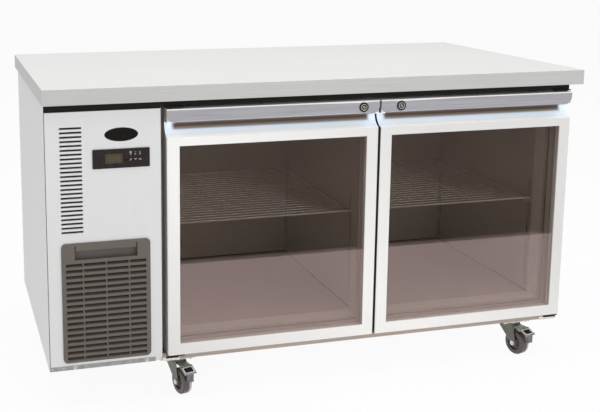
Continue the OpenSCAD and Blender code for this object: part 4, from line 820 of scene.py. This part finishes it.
def controller_print():
    """The signs of the keys and the lamps, and the unlit figures of the display."""
    key_stroke, lamp_stroke, figure_stroke = 1.3, 1.2, 1.0
    over_lamp, apart = 5.2 * MM, 10.5 * MM
    for node, strokes in KEY_SIGNS.items():
        lo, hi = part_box(node)
        middle = Vector(((lo.x + hi.x) / 2, lo.y, (lo.z + hi.z) / 2))
        printed(node + "_mark", strokes, key_stroke, middle, BODY[node], mark_white)
    work = plain_faces("display_and_lamps")
    window, *lamps = loose_parts(work)
    spots = [sum((face.calc_center_median() for face in part), Vector()) / len(part) for part in lamps]
    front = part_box("controller")[0].y
    for spot, (name, strokes) in zip(sorted(spots, key=lambda p: p.x), LAMP_SIGNS.items()):
        place = Vector((spot.x, front, spot.z + over_lamp))
        printed(name + "_lamp_mark", strokes, lamp_stroke, place, "cabinet", mark_white)
    points = [v.co for face in window for v in face.verts]
    lo = min(points, key=lambda p: p.x + p.y + p.z)
    hi = max(points, key=lambda p: p.x + p.z - p.y)
    for i, name in enumerate(("tens", "ones", "tenths")):
        middle = Vector(((lo.x + hi.x) / 2 + (i - 1) * apart, lo.y, (lo.z + hi.z) / 2))
        printed(name + "_segments", FIGURE, figure_stroke, middle, "cabinet",
                segment_pc)
    work.free()


def screw_crosses():
    """The cross recess in the head of each screw, as a black cross of painted shade, half as wide as the head, on
    the front and on the back.
    """
    work = plain_faces("panel_screws")
    screws = sorted(loose_parts(work), key=lambda part: part[0].calc_center_median().to_tuple())
    for number, part in enumerate(screws):
        points = [v.co for face in part for v in face.verts]
        way = -1 if points[0].y < 0 else 1
        half = (max(p.x for p in points) - min(p.x for p in points)) / 2
        middle = Vector((sum(p.x for p in points) / len(points), way * max(way * p.y for p in points),
                         (max(p.z for p in points) + min(p.z for p in points)) / 2))
        arm = half / MM * 0.5
        stroke = arm * 0.3
        cross = [[(-arm, 0), (arm, 0)], [(0, -arm), (0, arm)]]
        printed("screw_cross_%d" % number, cross, stroke, middle, "cabinet",
                black_and_recess_shade, way)
    work.free()


controller_print()
screw_crosses()


# The studio and the camera

def seen_plainly(tree):
    """1 where the eye meets a surface itself, in a mirror or through glass, and 0 where the surface only
    throws light on others."""
    path = put(tree, "LightPath")
    seen = path.outputs["Is Camera Ray"]
    for kind in ("Is Glossy Ray", "Is Transmission Ray"):
        seen = put(tree, "Math", {0: seen, 1: path.outputs[kind]}, operation="MAXIMUM").outputs[0]
    return seen


def flat_sheet(name, left, right, front, back, height, material):
    """A level sheet of the studio, by its edges in metres."""
    mesh = bpy.data.meshes.new(name)
    corners = [(left, front, height), (right, front, height), (right, back, height), (left, back, height)]
    mesh.from_pydata(corners, [], [(0, 1, 2, 3)])
    mesh.materials.append(material)
    return stand(name, mesh)


def surround():
    """A white surround, which lights things with less than half of the white that it shows."""
    world = bpy.data.worlds.new("white surround")
    bpy.context.scene.world = world
    world.use_nodes = True
    tree = world.node_tree
    level = put(tree, "MapRange", {"Value": seen_plainly(tree), "To Min": 0.42, "To Max": 1.0})
    tree.nodes["Background"].inputs["Color"].default_value = (1, 1, 1, 1)
    tree.links.new(level.outputs["Result"], tree.nodes["Background"].inputs["Strength"])


def paper_floor():
    """A floor of matt white paper. It glows where it is seen, so that only a faint shadow stays on it."""
    paper, tree, shader = new_material("matt white paper")
    fibre = speckle(tree, (30, 30, 30), 3.0)
    sheet = put(tree, "Mix", {0: fibre, 6: linear("#F6F5F3"), 7: linear("#FBFBFA")}, data_type="RGBA")
    tree.links.new(sheet.outputs[2], shader.inputs["Base Color"])
    shader.inputs["Roughness"].default_value = 0.9
    # Of what is seen, this share is glow and the rest is lit paper.
    glowing = 0.93
    share = put(tree, "Math", {0: seen_plainly(tree), 1: glowing}, operation="MULTIPLY")
    glow = put(tree, "Emission", {"Color": (1, 1, 1, 1), "Strength": 1.0})
    both = put(tree, "MixShader", {0: share.outputs[0], 1: shader.outputs["BSDF"],
                                   2: glow.outputs["Emission"]})
    tree.links.new(both.outputs["Shader"], tree.nodes["Material Output"].inputs["Surface"])
    floor = flat_sheet("floor", -40, 40, -40, 40, 0, paper)


def dark_cloth():
    """A dark cloth on the studio floor in front, a little paler further off. Only sharp mirrors show it, so
    the glass of the doors is dark above the place where the cloth's near edge mirrors in it."""
    cloth, tree, _ = new_material("dark studio cloth")
    place = put(tree, "SeparateXYZ", {0: put(tree, "TexCoord").outputs["Object"]})
    far = put(tree, "MapRange", {"Value": place.outputs["Y"], "From Min": -1.5, "From Max": -2.6})
    tone = put(tree, "Mix", {0: far.outputs["Result"], 6: linear("#42443F"), 7: linear("#77756E")},
               data_type="RGBA")
    glow = put(tree, "Emission", {"Color": tone.outputs[2], "Strength": 1.0})
    path = put(tree, "LightPath")
    clear = put(tree, "BsdfTransparent")
    both = put(tree, "MixShader", {0: path.outputs["Is Singular Ray"], 1: clear.outputs["BSDF"],
                                   2: glow.outputs["Emission"]})
    tree.links.new(both.outputs["Shader"], tree.nodes["Material Output"].inputs["Surface"])
    sheet = flat_sheet("cloth", -8, 8, -9, -1.46, 2 * MM, cloth)
    sheet.visible_camera = False
    sheet.visible_diffuse = False
    sheet.visible_shadow = False


def aim(holder, place, look):
    """Stands a lamp or a camera at a place, looking along a direction."""
    holder.location = place
    holder.rotation_mode = "QUATERNION"
    holder.rotation_quaternion = look.to_track_quat("-Z", "Y")


def softboxes():
    """One wide softbox overhead, one in front and a weak one at the left. Metres and watts."""
    for name, place, target, size, power in (
        ("overhead softbox", (-0.1, -0.4, 3.3), (0.0, -0.05, 0.8), (4.2, 3.0), 74),
        ("front softbox", (1.2, -3.8, 2.3), (0.1, -0.35, 0.45), (2.6, 1.8), 31),
        ("left fill", (-2.4, -3.0, 1.2), (0.2, -0.3, 0.45), (1.4, 1.4), 9),
    ):
        lamp = bpy.data.lights.new(name, "AREA")
        lamp.shape = "RECTANGLE"
        lamp.size, lamp.size_y = size
        lamp.energy = power
        aim(stand(name, lamp), place, Vector(target) - Vector(place))


def camera():
    """The photograph's viewpoint: in front and to the left, above the worktop. Its place, turn, lens and
    shift were fitted to points of the photograph, which is 600 pixels wide."""
    picture_width, focal_pixels = 600, 1003.3
    yaw, pitch = 0.263, 0.1698
    data = bpy.data.cameras.new("camera")
    data.sensor_width = 36
    data.lens = focal_pixels / picture_width * data.sensor_width
    data.shift_x = 0.16
    data.shift_y = -0.155
    data.clip_start, data.clip_end = 0.05, 200
    look = Vector((math.sin(yaw) * math.cos(pitch), math.cos(yaw) * math.cos(pitch), -math.sin(pitch)))
    holder = stand("camera", data)
    aim(holder, (-0.99214, -2.79958, 1.19309), look)
    bpy.context.scene.camera = holder


surround()
paper_floor()
dark_cloth()
softboxes()
camera()
bpy.context.scene.view_settings.view_transform = "Standard"
